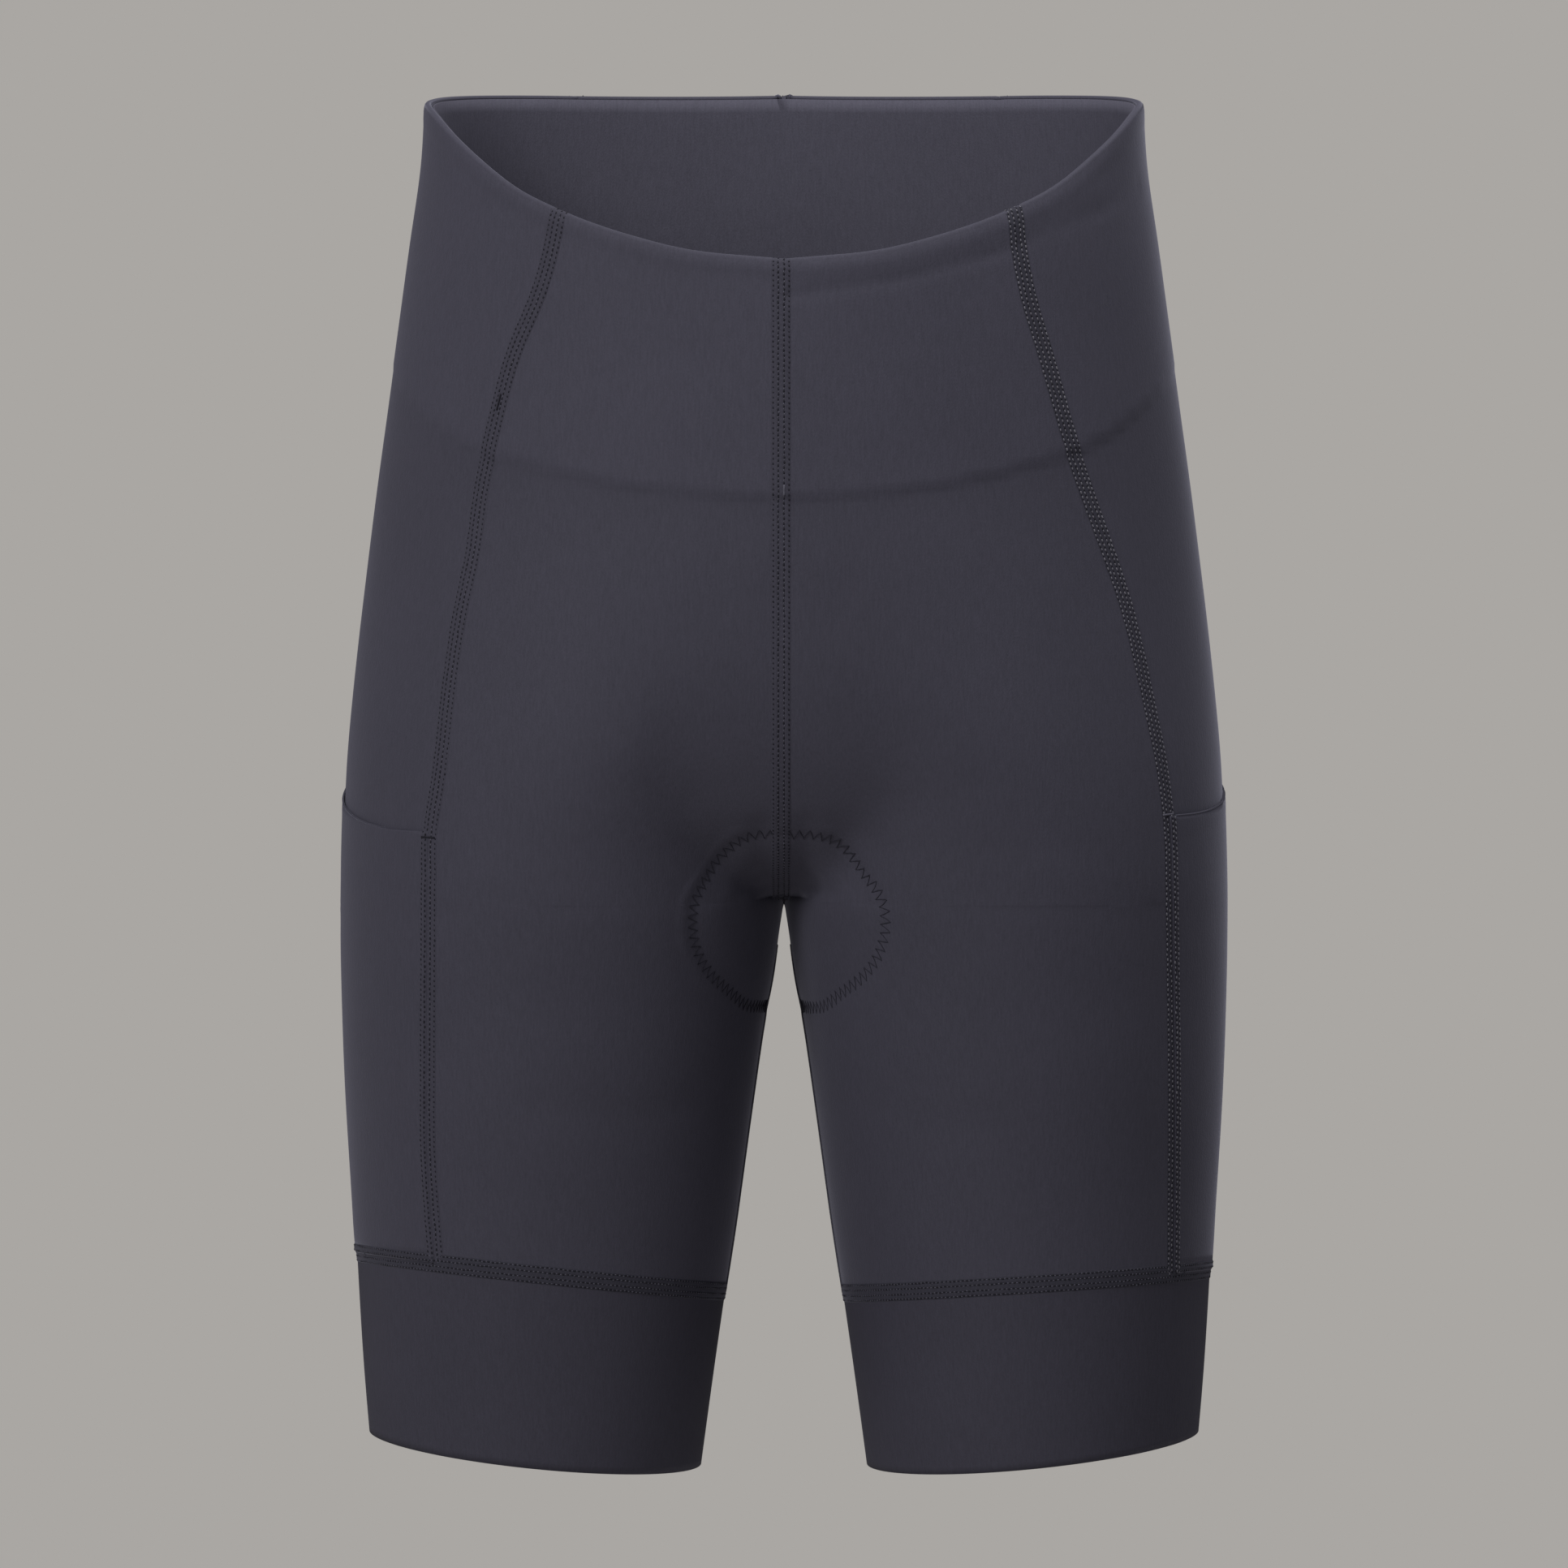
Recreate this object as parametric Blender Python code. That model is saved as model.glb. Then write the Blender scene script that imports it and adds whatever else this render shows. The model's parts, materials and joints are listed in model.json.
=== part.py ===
"""Cycling shorts, filled out as when worn, with no wearer: hollow, and open at the waist and both legs.

Each sewn piece is a thin closed wall of its own. The walls follow one form: a half section for each level,
one oval for the torso that closes into two leg ovals below the crotch. The front faces -Y and +Z is up. Left
and right are the wearer's, so the left leg is at +X. The origin is the middle of the waist opening, level
with the rim at the sides. Sizes are in millimetres.
"""

import math

import bpy
import numpy as np

MM = 0.001

# Cloth walls and the clearances between them
PANEL_WALL = 1.5
BAND_WALL = 1.5
POCKET_WALL = 1.2
FACING_WALL = 1.2
SEAM_GAP = 0.3
LAYER_GAP = 0.4

# Crotch: the level where the two legs part. From each reach above it the middle of the cloth curves in under
# the body. From CREST_START down, the fullest line of each half moves out from the middle to the thigh.
CROTCH_HEIGHT = -316.0
FRONT_REACH = 100.0
BACK_REACH = 140.0
CROTCH_ROUNDNESS = 2.5
CREST_START = -140.0
BRIDGE_BLEND = 0.12
SECTION_STEPS = 32

# Chamois pad
PAD_EDGE = 2.5
PAD_DOME = 6.0
PAD_FULLNESS = 1.6
PAD_GAP = 0.8
PAD_EDGE_ROLL = 0.8

# The form. outer: half width of the torso, or middle to the outside of a leg. gap: half the gap between the
# legs. front, back: depth before and behind the side line.
FORM_COLUMNS = ("height", "outer", "gap", "front", "back")
FORM = (
    (12, 140.5, 0.0, 93, 90),
    (0, 141.4, 0.0, 94, 91),
    (-28, 143.0, 0.0, 96, 93),
    (-50, 146.2, 0.0, 98, 95),
    (-76, 149.8, 0.0, 100, 99),
    (-112, 154.7, 0.0, 102, 106),
    (-152, 160.2, 0.0, 104, 117),
    (-184, 164.2, 0.0, 105, 125),
    (-224, 168.8, 0.0, 104, 131),
    (-262, 172.2, 0.0, 102, 130),
    (-290, 173.3, 0.0, 99, 123),
    (-316, 173.7, 0.0, 97, 113),
    (-334, 173.6, 3.5, 95, 106),
    (-349, 173.3, 5.8, 93, 101),
    (-380, 172.3, 10.2, 90, 95),
    (-410, 170.7, 14.4, 86, 90),
    (-440, 168.8, 18.5, 82, 85),
    (-467, 167.4, 22.7, 79, 81),
    (-504, 165.0, 28.0, 75, 77),
    (-540, 161.8, 32.9, 71, 73),
)

# Waist rim: angle round the section, from -90 at the front middle through 0 at the side to 90 at the back.
RIM_COLUMNS = ("angle", "height")
RIM = (
    (-90, -68.7),
    (-78, -65.8),
    (-66, -58.6),
    (-46, -40.6),
    (-25, -16.2),
    (-9, -3.2),
    (0, 0.0),
    (20, 5.0),
    (45, 8.2),
    (90, 10.5),
)

# Seam between front and side, as a distance from the middle. The photo's two sides differ a little, and the
# back seam mirrors the front one.
SEAM_COLUMNS = ("height", "left", "right")
SIDE_SEAM = (
    (-30, 87.6, 84.2),
    (-48, 88.0, 86.0),
    (-75, 91.8, 92.0),
    (-106, 100.6, 104.3),
    (-140, 110.6, 113.2),
    (-160, 117.6, 117.2),
    (-184, 126.3, 120.4),
    (-205, 133.1, 125.0),
    (-236, 140.2, 129.3),
    (-266, 146.1, 132.5),
    (-289, 148.6, 136.0),
    (-334, 149.6, 136.5),
    (-404, 150.6, 137.0),
    (-460, 150.6, 133.5),
)

# Slanted rings of the legs. middle: height of the ring's plane. outer_rise, front_rise: how far it climbs
# towards the outside and the front.
RING_COLUMNS = ("ring", "middle", "outer_rise", "front_rise")
RINGS = (
    ("left band seam", -465.0, 4.7, 3.7),
    ("right band seam", -461.4, 7.7, 3.9),
    ("left hem", -530.4, 6.8, -2.4),
    ("right hem", -530.4, 6.8, -2.4),
)

# Depth of the waist facing below the rim, by angle round the section
FACING_COLUMNS = ("angle", "depth")
FACING = (
    (-90, 91),
    (-50, 92),
    (0, 104),
    (90, 106),
)

# Pocket mouth: height across the side panel, from 0 at the front seam to 1 at the back seam
MOUTH_COLUMNS = ("across", "left", "right")
MOUTH = (
    (0.00, -281.5, -288.0),
    (0.12, -280.5, -286.5),
    (0.28, -277.0, -281.5),
    (0.50, -270.0, -271.0),
    (0.75, -258.0, -257.0),
    (1.00, -246.0, -245.0),
)

# Outline of the chamois pad, as a distance from the middle at each height, before and behind the inseam
PAD_COLUMNS = ("height", "edge")
PAD_FRONT = (
    (-289.0, 16.5),
    (-296.5, 23.5),
    (-303.0, 29.0),
    (-312.5, 36.3),
    (-320.0, 37.8),
    (-327.0, 37.6),
    (-335.0, 35.6),
    (-344.0, 31.0),
    (-352.0, 23.0),
    (-356.5, 16.0),
)
PAD_BACK = (
    (-206.0, 16.0),
    (-212.0, 40.0),
    (-226.0, 60.0),
    (-250.0, 74.0),
    (-278.0, 77.0),
    (-300.0, 69.0),
    (-320.0, 56.0),
    (-338.0, 40.0),
    (-352.0, 25.0),
    (-356.5, 18.0),
)

# Columns round each half and rows down it
FRONT_COLUMNS = 12
SIDE_COLUMNS = 10
BACK_COLUMNS = 12
TORSO_ROWS = 8
CROTCH_ROWS = 9
LEG_ROWS = 9
BAND_ROWS = 3
PAD_COLUMNS_ACROSS = 6
LEVEL_HEIGHT = -200.0
LEG_ROW_CROWDING = 1.6
END_ROW_SPACE = 0.4
SETTLING_TURNS = 8
SHARP_ANGLE = 50.0

FRONT_SEAM_COLUMN = FRONT_COLUMNS
BACK_SEAM_COLUMN = FRONT_COLUMNS + SIDE_COLUMNS
LAST_COLUMN = BACK_SEAM_COLUMN + BACK_COLUMNS
CROTCH_ROW = TORSO_ROWS + CROTCH_ROWS
BAND_ROW = CROTCH_ROW + LEG_ROWS
HEM_ROW = BAND_ROW + BAND_ROWS

SIDES = {"left": 1.0, "right": -1.0}

# Colours of the cloth, linear, with roughness
SLATE_JERSEY = ((0.046, 0.043, 0.058, 1.0), 0.82)
SMOOTH_JERSEY = ((0.040, 0.037, 0.052, 1.0), 0.75)
PAD_FLEECE = ((0.022, 0.021, 0.027, 1.0), 0.92)


def smooth_curve(names, rows, wanted):
    """Reads one column of a table as a smooth function of its first column, with no overshoot."""
    place = names.index(wanted)
    pairs = sorted((row[0], row[place]) for row in rows)
    knots = np.array([pair[0] for pair in pairs], float)
    values = np.array([pair[1] for pair in pairs], float)
    spans = np.diff(knots)
    slopes = np.diff(values) / spans
    tangents = np.zeros(len(knots))
    tangents[0] = slopes[0]
    tangents[-1] = slopes[-1]
    for i in range(1, len(slopes)):
        before, after = slopes[i - 1], slopes[i]
        if before * after > 0:
            tangents[i] = 2 * before * after / (before + after)

    def read(where):
        i = int(np.clip(np.searchsorted(knots, where) - 1, 0, len(spans) - 1))
        t = min(max((where - knots[i]) / spans[i], 0.0), 1.0)
        start = (1 + 2 * t) * (1 - t) ** 2 * values[i] + t * (1 - t) ** 2 * spans[i] * tangents[i]
        end = t * t * (3 - 2 * t) * values[i + 1] - t * t * (1 - t) * spans[i] * tangents[i + 1]
        return float(start + end)

    return read


outer_width = smooth_curve(FORM_COLUMNS, FORM, "outer")
leg_gap = smooth_curve(FORM_COLUMNS, FORM, "gap")
front_depth = smooth_curve(FORM_COLUMNS, FORM, "front")
back_depth = smooth_curve(FORM_COLUMNS, FORM, "back")
rim_height = smooth_curve(RIM_COLUMNS, RIM, "height")
facing_depth = smooth_curve(FACING_COLUMNS, FACING, "depth")
pad_front_edge = smooth_curve(PAD_COLUMNS, PAD_FRONT, "edge")
pad_back_edge = smooth_curve(PAD_COLUMNS, PAD_BACK, "edge")
seam_width = {side: smooth_curve(SEAM_COLUMNS, SIDE_SEAM, side) for side in SIDES}
mouth_height = {side: smooth_curve(MOUTH_COLUMNS, MOUTH, side) for side in SIDES}


def crest_place(height):
    """How far the fullest line of a half section stands from the middle."""
    if height <= CROTCH_HEIGHT:
        return (outer_width(height) + leg_gap(height)) / 2
    fall = min(max((CREST_START - height) / (CREST_START - CROTCH_HEIGHT), 0.0), 1.0)
    return outer_width(height) / 2 * fall**2 * (3 - 2 * fall)


def middle_depth(height, front):
    """Depth of the cloth on the middle, as a share of the depth at the crest: 1 above, 0 at the crotch."""
    reach = FRONT_REACH if front else BACK_REACH
    fall = min(max((CROTCH_HEIGHT + reach - height) / reach, 0.0), 1.0)
    return (1 - fall**CROTCH_ROUNDNESS) ** (1 / CROTCH_ROUNDNESS)


def quarter_section(height, front):
    """Distances from the middle and depths of the front or back of a half section, from middle to side."""
    outer = outer_width(height)
    depth = front_depth(height) if front else back_depth(height)
    crest = crest_place(height)
    inner = leg_gap(height) if height < CROTCH_HEIGHT else 0.0
    angles = np.linspace(0, math.pi / 2, SECTION_STEPS + 1)
    inner_across = crest - (crest - inner) * np.cos(angles)
    inner_depths = depth * np.sin(angles)
    if height > CROTCH_HEIGHT:
        # Stretched cloth bridges the groove between the two halves.
        bridge = depth * middle_depth(height, front)
        blend = BRIDGE_BLEND * bridge * np.cos(angles)
        inner_depths = (inner_depths + bridge + np.hypot(inner_depths - bridge, blend)) / 2
    outer_across = crest + (outer - crest) * np.sin(angles[1:])
    outer_depths = depth * np.cos(angles[1:])
    across = np.concatenate([inner_across, outer_across])
    depths = np.concatenate([inner_depths, outer_depths])
    return across, depths * (-1 if front else 1)


def spread_columns(side, column, height):
    """Place of a grid column on the section at a height. Columns share out the front, the side panel and the
    back evenly along the cloth."""
    front_across, front_depths = quarter_section(height, True)
    back_across, back_depths = quarter_section(height, False)
    across = np.concatenate([front_across, back_across[-2::-1]])
    depths = np.concatenate([front_depths, back_depths[-2::-1]])
    lengths = np.concatenate([[0.0], np.cumsum(np.hypot(np.diff(across), np.diff(depths)))])
    side_spot = len(front_across) - 1
    seam = seam_width[side](height)
    front_seam = np.interp(seam, across[: side_spot + 1], lengths[: side_spot + 1])
    back_seam = np.interp(-seam, -across[side_spot:], lengths[side_spot:])
    stops = (0.0, front_seam, back_seam, lengths[-1])
    place = np.interp(column, (0, FRONT_SEAM_COLUMN, BACK_SEAM_COLUMN, LAST_COLUMN), stops)
    return float(np.interp(place, lengths, across)), float(np.interp(place, lengths, depths))


def ring_height(ring, x, y):
    """Height of a leg's slanted ring at a place."""
    sizes = next(dict(zip(RING_COLUMNS, row)) for row in RINGS if row[0] == ring)
    middle = sizes["middle"]
    inner, outer = leg_gap(middle), outer_width(middle)
    away = (x - (outer + inner) / 2) / ((outer - inner) / 2)
    forward = -y / front_depth(middle)
    return middle + sizes["outer_rise"] * away + sizes["front_rise"] * forward


def row_height(side, row, x, y):
    """Height of a grid row: from the rim to a level, level down to the crotch, then to band seam and hem."""
    if row <= TORSO_ROWS:
        rim = rim_height(math.degrees(math.atan2(y / front_depth(0), x / outer_width(0))))
        return rim + (LEVEL_HEIGHT - rim) * row / TORSO_ROWS
    if row <= CROTCH_ROW:
        share = math.sin(math.pi / 2 * (row - TORSO_ROWS) / CROTCH_ROWS)
        return LEVEL_HEIGHT + (CROTCH_HEIGHT - LEVEL_HEIGHT) * share
    seam = ring_height(side + " band seam", x, y)
    if row <= BAND_ROW:
        share = ((row - CROTCH_ROW) / LEG_ROWS) ** LEG_ROW_CROWDING
        return CROTCH_HEIGHT + (seam - CROTCH_HEIGHT) * share
    hem = ring_height(side + " hem", x, y)
    return seam + (hem - seam) * (row - BAND_ROW) / BAND_ROWS


def grid_point(side, row, column):
    """A point of the form's grid. Its height and its place depend on each other, so they settle in turns."""
    height = LEVEL_HEIGHT
    for _ in range(SETTLING_TURNS):
        x, y = spread_columns(side, column, height)
        height = row_height(side, row, x, y)
    x, y = spread_columns(side, column, height)
    return x + SEAM_GAP / 2, y, height


def form_points(side):
    """All grid points of one half, at positive X, as rows by columns."""
    rows = range(HEM_ROW + 1)
    columns = range(LAST_COLUMN + 1)
    return np.array([[grid_point(side, row, column) for column in columns] for row in rows])


def form_normals(points):
    """Outward directions at the grid points, shared by the pieces on both sides of every seam."""
    mirror = np.array([-1.0, 1.0, 1.0])
    before = np.roll(points, 1, axis=1)
    after = np.roll(points, -1, axis=1)
    for row in range(HEM_ROW + 1):
        legs_apart = row > CROTCH_ROW
        before[row, 0] = points[row, -2] if legs_apart else points[row, 1] * mirror
        after[row, -1] = points[row, 1] if legs_apart else points[row, -2] * mirror
    across = after - before
    down = np.gradient(points, axis=0)
    normals = np.cross(down, across)
    normals[: CROTCH_ROW + 1, [0, -1], 0] = 0.0
    normals[CROTCH_ROW, [0, -1]] = (0.0, 0.0, -1.0)
    return normals / np.linalg.norm(normals, axis=2, keepdims=True)


class Form:
    """One half of the garment's outer surface: a grid of points with its outward directions."""

    def __init__(self, side):
        self.side = side
        self.points = form_points(side)
        self.normals = form_normals(self.points)

    def at(self, row, column, lift):
        """A point between grid points, moved out by lift, or in where it is negative."""
        top = min(int(row), HEM_ROW - 1)
        first = min(int(column), LAST_COLUMN - 1)
        down = row - top
        across = column - first
        found = []
        for grid in (self.points, self.normals):
            cell = grid[top : top + 2, first : first + 2]
            upper = cell[0, 0] * (1 - across) + cell[0, 1] * across
            lower = cell[1, 0] * (1 - across) + cell[1, 1] * across
            found.append(upper * (1 - down) + lower * down)
        return found[0] + found[1] / np.linalg.norm(found[1]) * lift

    def layer(self, spots, lifts):
        """The points at a grid of (row, column) spots, moved out by one lift or by a lift for each."""
        lifts = np.broadcast_to(lifts, (len(spots), len(spots[0])))
        return np.array([[self.at(*spot, lift) for spot, lift in zip(*line)] for line in zip(spots, lifts)])

    def row_at(self, column, height):
        """The row, with its fraction, where a column passes a height."""
        heights = self.points[:, column, 2]
        return float(np.interp(-height, -heights, np.arange(HEM_ROW + 1)))

    def pad_column(self, row, edge, front):
        """The column, with its fraction, where a row is this far from the middle."""
        if front:
            columns = np.arange(FRONT_SEAM_COLUMN + 1)
        else:
            columns = np.arange(LAST_COLUMN, BACK_SEAM_COLUMN - 1, -1)
        widths = [self.at(row, column, 0.0)[0] for column in columns]
        return float(np.interp(edge, widths, columns))


def moved_towards(points, others, distance):
    """Each point moved a distance towards its partner."""
    ways = others - points
    return points + ways / np.linalg.norm(ways, axis=-1, keepdims=True) * distance


class Sheet:
    """Patches of one sewn piece, welded where they meet, with an outer and an inner point at each corner."""

    def __init__(self):
        self.spots = {}
        self.outer = []
        self.inner = []
        self.faces = []

    def corner(self, outer, inner):
        spot = tuple(np.round(outer, 3) + 0.0)
        if spot not in self.spots:
            self.spots[spot] = len(self.outer)
            self.outer.append(outer)
            self.inner.append(inner)
        return self.spots[spot]

    def add(self, outer, inner, side):
        """Adds a patch given at positive X, mirrored for the right side. Every layer splits a cell the same
        way, so that layers lie parallel, and cells that an outline has squeezed shut are left out."""
        mirror = np.array([SIDES[side], 1.0, 1.0])
        index = []
        for outer_row, inner_row in zip(outer * mirror, inner * mirror):
            index.append([self.corner(*pair) for pair in zip(outer_row, inner_row)])
        for i in range(len(index) - 1):
            for j in range(len(index[0]) - 1):
                a, b, c, d = index[i][j], index[i + 1][j], index[i + 1][j + 1], index[i][j + 1]
                in_front = outer[i : i + 2, j : j + 2, 1].sum() < 0
                halves = ((a, b, c), (a, c, d)) if in_front else ((a, b, d), (b, c, d))
                for half in halves:
                    if len(set(half)) == 3:
                        self.faces.append(list(half if side == "left" else half[::-1]))

    def wall(self):
        """Points and faces of the closed wall: outer skin, inner skin, and a strip round every free edge."""
        count = len(self.outer)
        edges = set()
        for face in self.faces:
            for a, b in zip(face, face[1:] + face[:1]):
                edges.add((a, b))
        faces = list(self.faces)
        faces += [[corner + count for corner in reversed(face)] for face in self.faces]
        faces += [[b, a, a + count, b + count] for a, b in sorted(edges) if (b, a) not in edges]
        return np.array(self.outer + self.inner) * MM, faces


def cloth_material(name, look):
    """A plain cloth material."""
    colour, roughness = look
    material = bpy.data.materials.new(name)
    material.use_nodes = True
    shader = material.node_tree.nodes["Principled BSDF"]
    shader.inputs["Base Color"].default_value = colour
    shader.inputs["Roughness"].default_value = roughness
    shader.inputs["Metallic"].default_value = 0.0
    material.diffuse_color = colour
    return material


def cloth_object(name, sheet, look, collection):
    """The object of one sewn piece."""
    points, faces = sheet.wall()
    mesh = bpy.data.meshes.new(name)
    mesh.from_pydata(points.tolist(), [], faces)
    mesh.validate()
    mesh.shade_smooth()
    mesh.set_sharp_from_angle(angle=math.radians(SHARP_ANGLE))
    piece = bpy.data.objects.new(name, mesh)
    piece.data.materials.append(cloth_material(name + "_cloth", look))
    collection.objects.link(piece)
    return piece


def panel_sheet(form, first, last):
    """A panel between two columns, from the rim to the band seam, drawn back from its seams."""
    points = form.points[: BAND_ROW + 1, first : last + 1].copy()
    normals = form.normals[: BAND_ROW + 1, first : last + 1]
    drawn = points.copy()
    half = SEAM_GAP / 2
    # Above the crotch the middle seams already stand half a gap off the middle.
    start = CROTCH_ROW if first == 0 else 0
    finish = CROTCH_ROW if last == LAST_COLUMN else 0
    drawn[start:, 0] = moved_towards(points[start:, 0], points[start:, 1], half)
    drawn[finish:, -1] = moved_towards(points[finish:, -1], points[finish:, -2], half)
    drawn[-1] = moved_towards(drawn[-1], drawn[-2], half)
    sheet = Sheet()
    sheet.add(drawn, drawn - normals * PANEL_WALL, form.side)
    return sheet


def band_sheet(form):
    """A leg band: a closed ring from the band seam to the hem."""
    points = form.points[BAND_ROW:].copy()
    points[0] = moved_towards(points[0], points[1], SEAM_GAP / 2)
    sheet = Sheet()
    sheet.add(points, points - form.normals[BAND_ROW:] * BAND_WALL, form.side)
    return sheet


def pocket_sheet(form):
    """A pocket patch over the lower side panel, made from the panel's points, moved out."""
    columns = range(FRONT_SEAM_COLUMN, BACK_SEAM_COLUMN + 1)
    shares = [(column - FRONT_SEAM_COLUMN) / SIDE_COLUMNS for column in columns]
    mouth = [form.row_at(column, mouth_height[form.side](share)) for column, share in zip(columns, shares)]
    rows = range(int(min(mouth)), BAND_ROW + 1)
    spots = [[(max(row, top), column) for top, column in zip(mouth, columns)] for row in rows]
    inner = form.layer(spots, LAYER_GAP)
    outer = form.layer(spots, LAYER_GAP + POCKET_WALL)
    for skin in (inner, outer):
        skin[:, 0] = moved_towards(skin[:, 0], skin[:, 1], SEAM_GAP)
        skin[:, -1] = moved_towards(skin[:, -1], skin[:, -2], SEAM_GAP)
        skin[-1] = moved_towards(skin[-1], skin[-2], SEAM_GAP / 2)
    sheet = Sheet()
    sheet.add(outer, inner, form.side)
    return sheet


def facing_sheet(forms):
    """The waist facing: one ring inside the rim, made from the panels' points, moved in."""
    sheet = Sheet()
    depth = PANEL_WALL + LAYER_GAP
    columns = range(LAST_COLUMN + 1)
    for form in forms:
        lower = []
        for column in columns:
            x, y, height = form.points[0, column]
            lower.append(form.row_at(column, height - facing_depth(math.degrees(math.atan2(y, x)))))
        rows = range(math.ceil(max(lower)) + 1)
        spots = [[(min(row, low), column) for low, column in zip(lower, columns)] for row in rows]
        outer = form.layer(spots, -depth)
        inner = form.layer(spots, -depth - FACING_WALL)
        for skin in (outer, inner):
            skin[:, [0, -1], 0] = 0.0
        sheet.add(outer, inner, form.side)
    return sheet


def pad_thickness(across, along):
    """Thickness of the pad: full in the middle, thin at its outline."""
    return PAD_EDGE + PAD_DOME * (1 - across**2) * math.sin(math.pi / 2 * min(PAD_FULLNESS * along, 1.0))


def pad_quarter(form, front):
    """One quarter of the pad: rows from its end down to the crotch and on down the inner thigh."""
    table = PAD_FRONT if front else PAD_BACK
    edge_at = pad_front_edge if front else pad_back_edge
    middle = 0 if front else LAST_COLUMN
    start = form.row_at(middle, table[0][0])
    finish = form.row_at(middle, table[-1][0])
    # Between its ends the pad has the panels' own rows, so that it lies along them.
    between = range(math.ceil(start + END_ROW_SPACE), math.ceil(finish - END_ROW_SPACE))
    rows = [start] + list(between) + [finish]
    depth = PANEL_WALL + PAD_GAP
    spots = []
    outer_depths = []
    inner_depths = []
    for row in rows:
        edge = form.pad_column(row, edge_at(form.at(row, middle, 0.0)[2]), front)
        reach = abs(edge - middle)
        above = row <= CROTCH_ROW
        along = (row - start) / (CROTCH_ROW - start) if above else (finish - row) / (finish - CROTCH_ROW)
        steps = [min(step, reach) for step in range(PAD_COLUMNS_ACROSS + 1)]
        spots.append([(row, middle + step * (1 if front else -1)) for step in steps])
        outer_depths.append([-depth - PAD_EDGE_ROLL * (step / reach) ** 2 for step in steps])
        inner_depths.append([-depth - pad_thickness(step / reach, along) for step in steps])
    outer = form.layer(spots, np.array(outer_depths))
    inner = form.layer(spots, np.array(inner_depths))
    for skin in (outer, inner):
        skin[: rows.index(CROTCH_ROW) + 1, 0, 0] = 0.0
    if front:
        return outer, inner
    return outer[:, ::-1], inner[:, ::-1]


def pad_sheet(forms):
    """The chamois pad: four quarters welded along the middle and the inseams."""
    sheet = Sheet()
    for form in forms:
        for front in (True, False):
            outer, inner = pad_quarter(form, front)
            sheet.add(outer, inner, form.side)
    return sheet


def clear_scene():
    for thing in list(bpy.data.objects):
        bpy.data.objects.remove(thing, do_unlink=True)


def new_collection(name):
    collection = bpy.data.collections.new(name)
    bpy.context.scene.collection.children.link(collection)
    return collection


def build():
    clear_scene()
    shorts = new_collection("cycling_shorts")
    forms = [Form(side) for side in SIDES]
    for form in forms:
        side = form.side
        front = panel_sheet(form, 0, FRONT_SEAM_COLUMN)
        side_panel = panel_sheet(form, FRONT_SEAM_COLUMN, BACK_SEAM_COLUMN)
        back = panel_sheet(form, BACK_SEAM_COLUMN, LAST_COLUMN)
        cloth_object("front_" + side, front, SLATE_JERSEY, shorts)
        cloth_object("side_" + side, side_panel, SLATE_JERSEY, shorts)
        cloth_object("back_" + side, back, SLATE_JERSEY, shorts)
        cloth_object("pocket_" + side, pocket_sheet(form), SLATE_JERSEY, shorts)
        cloth_object("leg_band_" + side, band_sheet(form), SMOOTH_JERSEY, shorts)
    cloth_object("waist_facing", facing_sheet(forms), SMOOTH_JERSEY, shorts)
    cloth_object("chamois_pad", pad_sheet(forms), PAD_FLEECE, shorts)


build()
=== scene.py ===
# %% [markdown]
# # Cycling shorts
#
# A pair of close-fitting cycling shorts, filled out as when worn, with no wearer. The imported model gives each
# sewn piece as a plain faceted wall. This lesson makes the cloth from it: smooth thin jersey, a folded waist,
# flatlock seams with real thread, pockets, bonded leg bands and the saddle pad with its zigzag stitching.

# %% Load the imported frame
import json
import math

import bpy
import numpy as np
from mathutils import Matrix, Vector
from mathutils.bvhtree import BVHTree
from mathutils.kdtree import KDTree

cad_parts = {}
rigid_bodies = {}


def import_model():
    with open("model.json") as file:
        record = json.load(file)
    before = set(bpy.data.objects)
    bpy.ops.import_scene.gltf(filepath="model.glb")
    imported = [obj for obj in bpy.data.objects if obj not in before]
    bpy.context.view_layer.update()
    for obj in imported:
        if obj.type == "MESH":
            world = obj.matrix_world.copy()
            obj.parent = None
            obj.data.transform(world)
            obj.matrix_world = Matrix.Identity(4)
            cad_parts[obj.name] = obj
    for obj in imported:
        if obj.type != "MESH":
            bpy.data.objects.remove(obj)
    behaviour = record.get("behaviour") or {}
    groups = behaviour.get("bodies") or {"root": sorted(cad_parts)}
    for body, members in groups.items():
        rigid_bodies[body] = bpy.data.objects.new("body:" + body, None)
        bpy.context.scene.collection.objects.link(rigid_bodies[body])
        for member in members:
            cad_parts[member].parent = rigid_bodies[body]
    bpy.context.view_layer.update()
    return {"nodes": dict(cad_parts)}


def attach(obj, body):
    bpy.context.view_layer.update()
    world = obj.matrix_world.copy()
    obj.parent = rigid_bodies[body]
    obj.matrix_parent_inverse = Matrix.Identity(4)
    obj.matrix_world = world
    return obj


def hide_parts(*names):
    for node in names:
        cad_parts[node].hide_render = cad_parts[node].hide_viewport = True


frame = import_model()
MM = 0.001
print("solids:", sorted(frame["nodes"]))

# %% [markdown]
# ## Camera
#
# The photograph was taken level, from straight in front and far away, so that the shorts hardly show any
# perspective. A long lens 3 m away gives the same outline. The picture is square.

# %% Camera
CAMERA_DISTANCE = 3.0
CAMERA_HEIGHT = -0.2691
LENS = 174.6
SENSOR = 36.0

bpy.ops.object.camera_add(location=(0, -CAMERA_DISTANCE, CAMERA_HEIGHT), rotation=(math.pi / 2, 0, 0))
camera = bpy.context.object
camera.name = "camera"
camera.data.lens = LENS
camera.data.sensor_width = SENSOR
bpy.context.scene.camera = camera
print("camera looks level from", tuple(round(value, 3) for value in camera.location))

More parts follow.
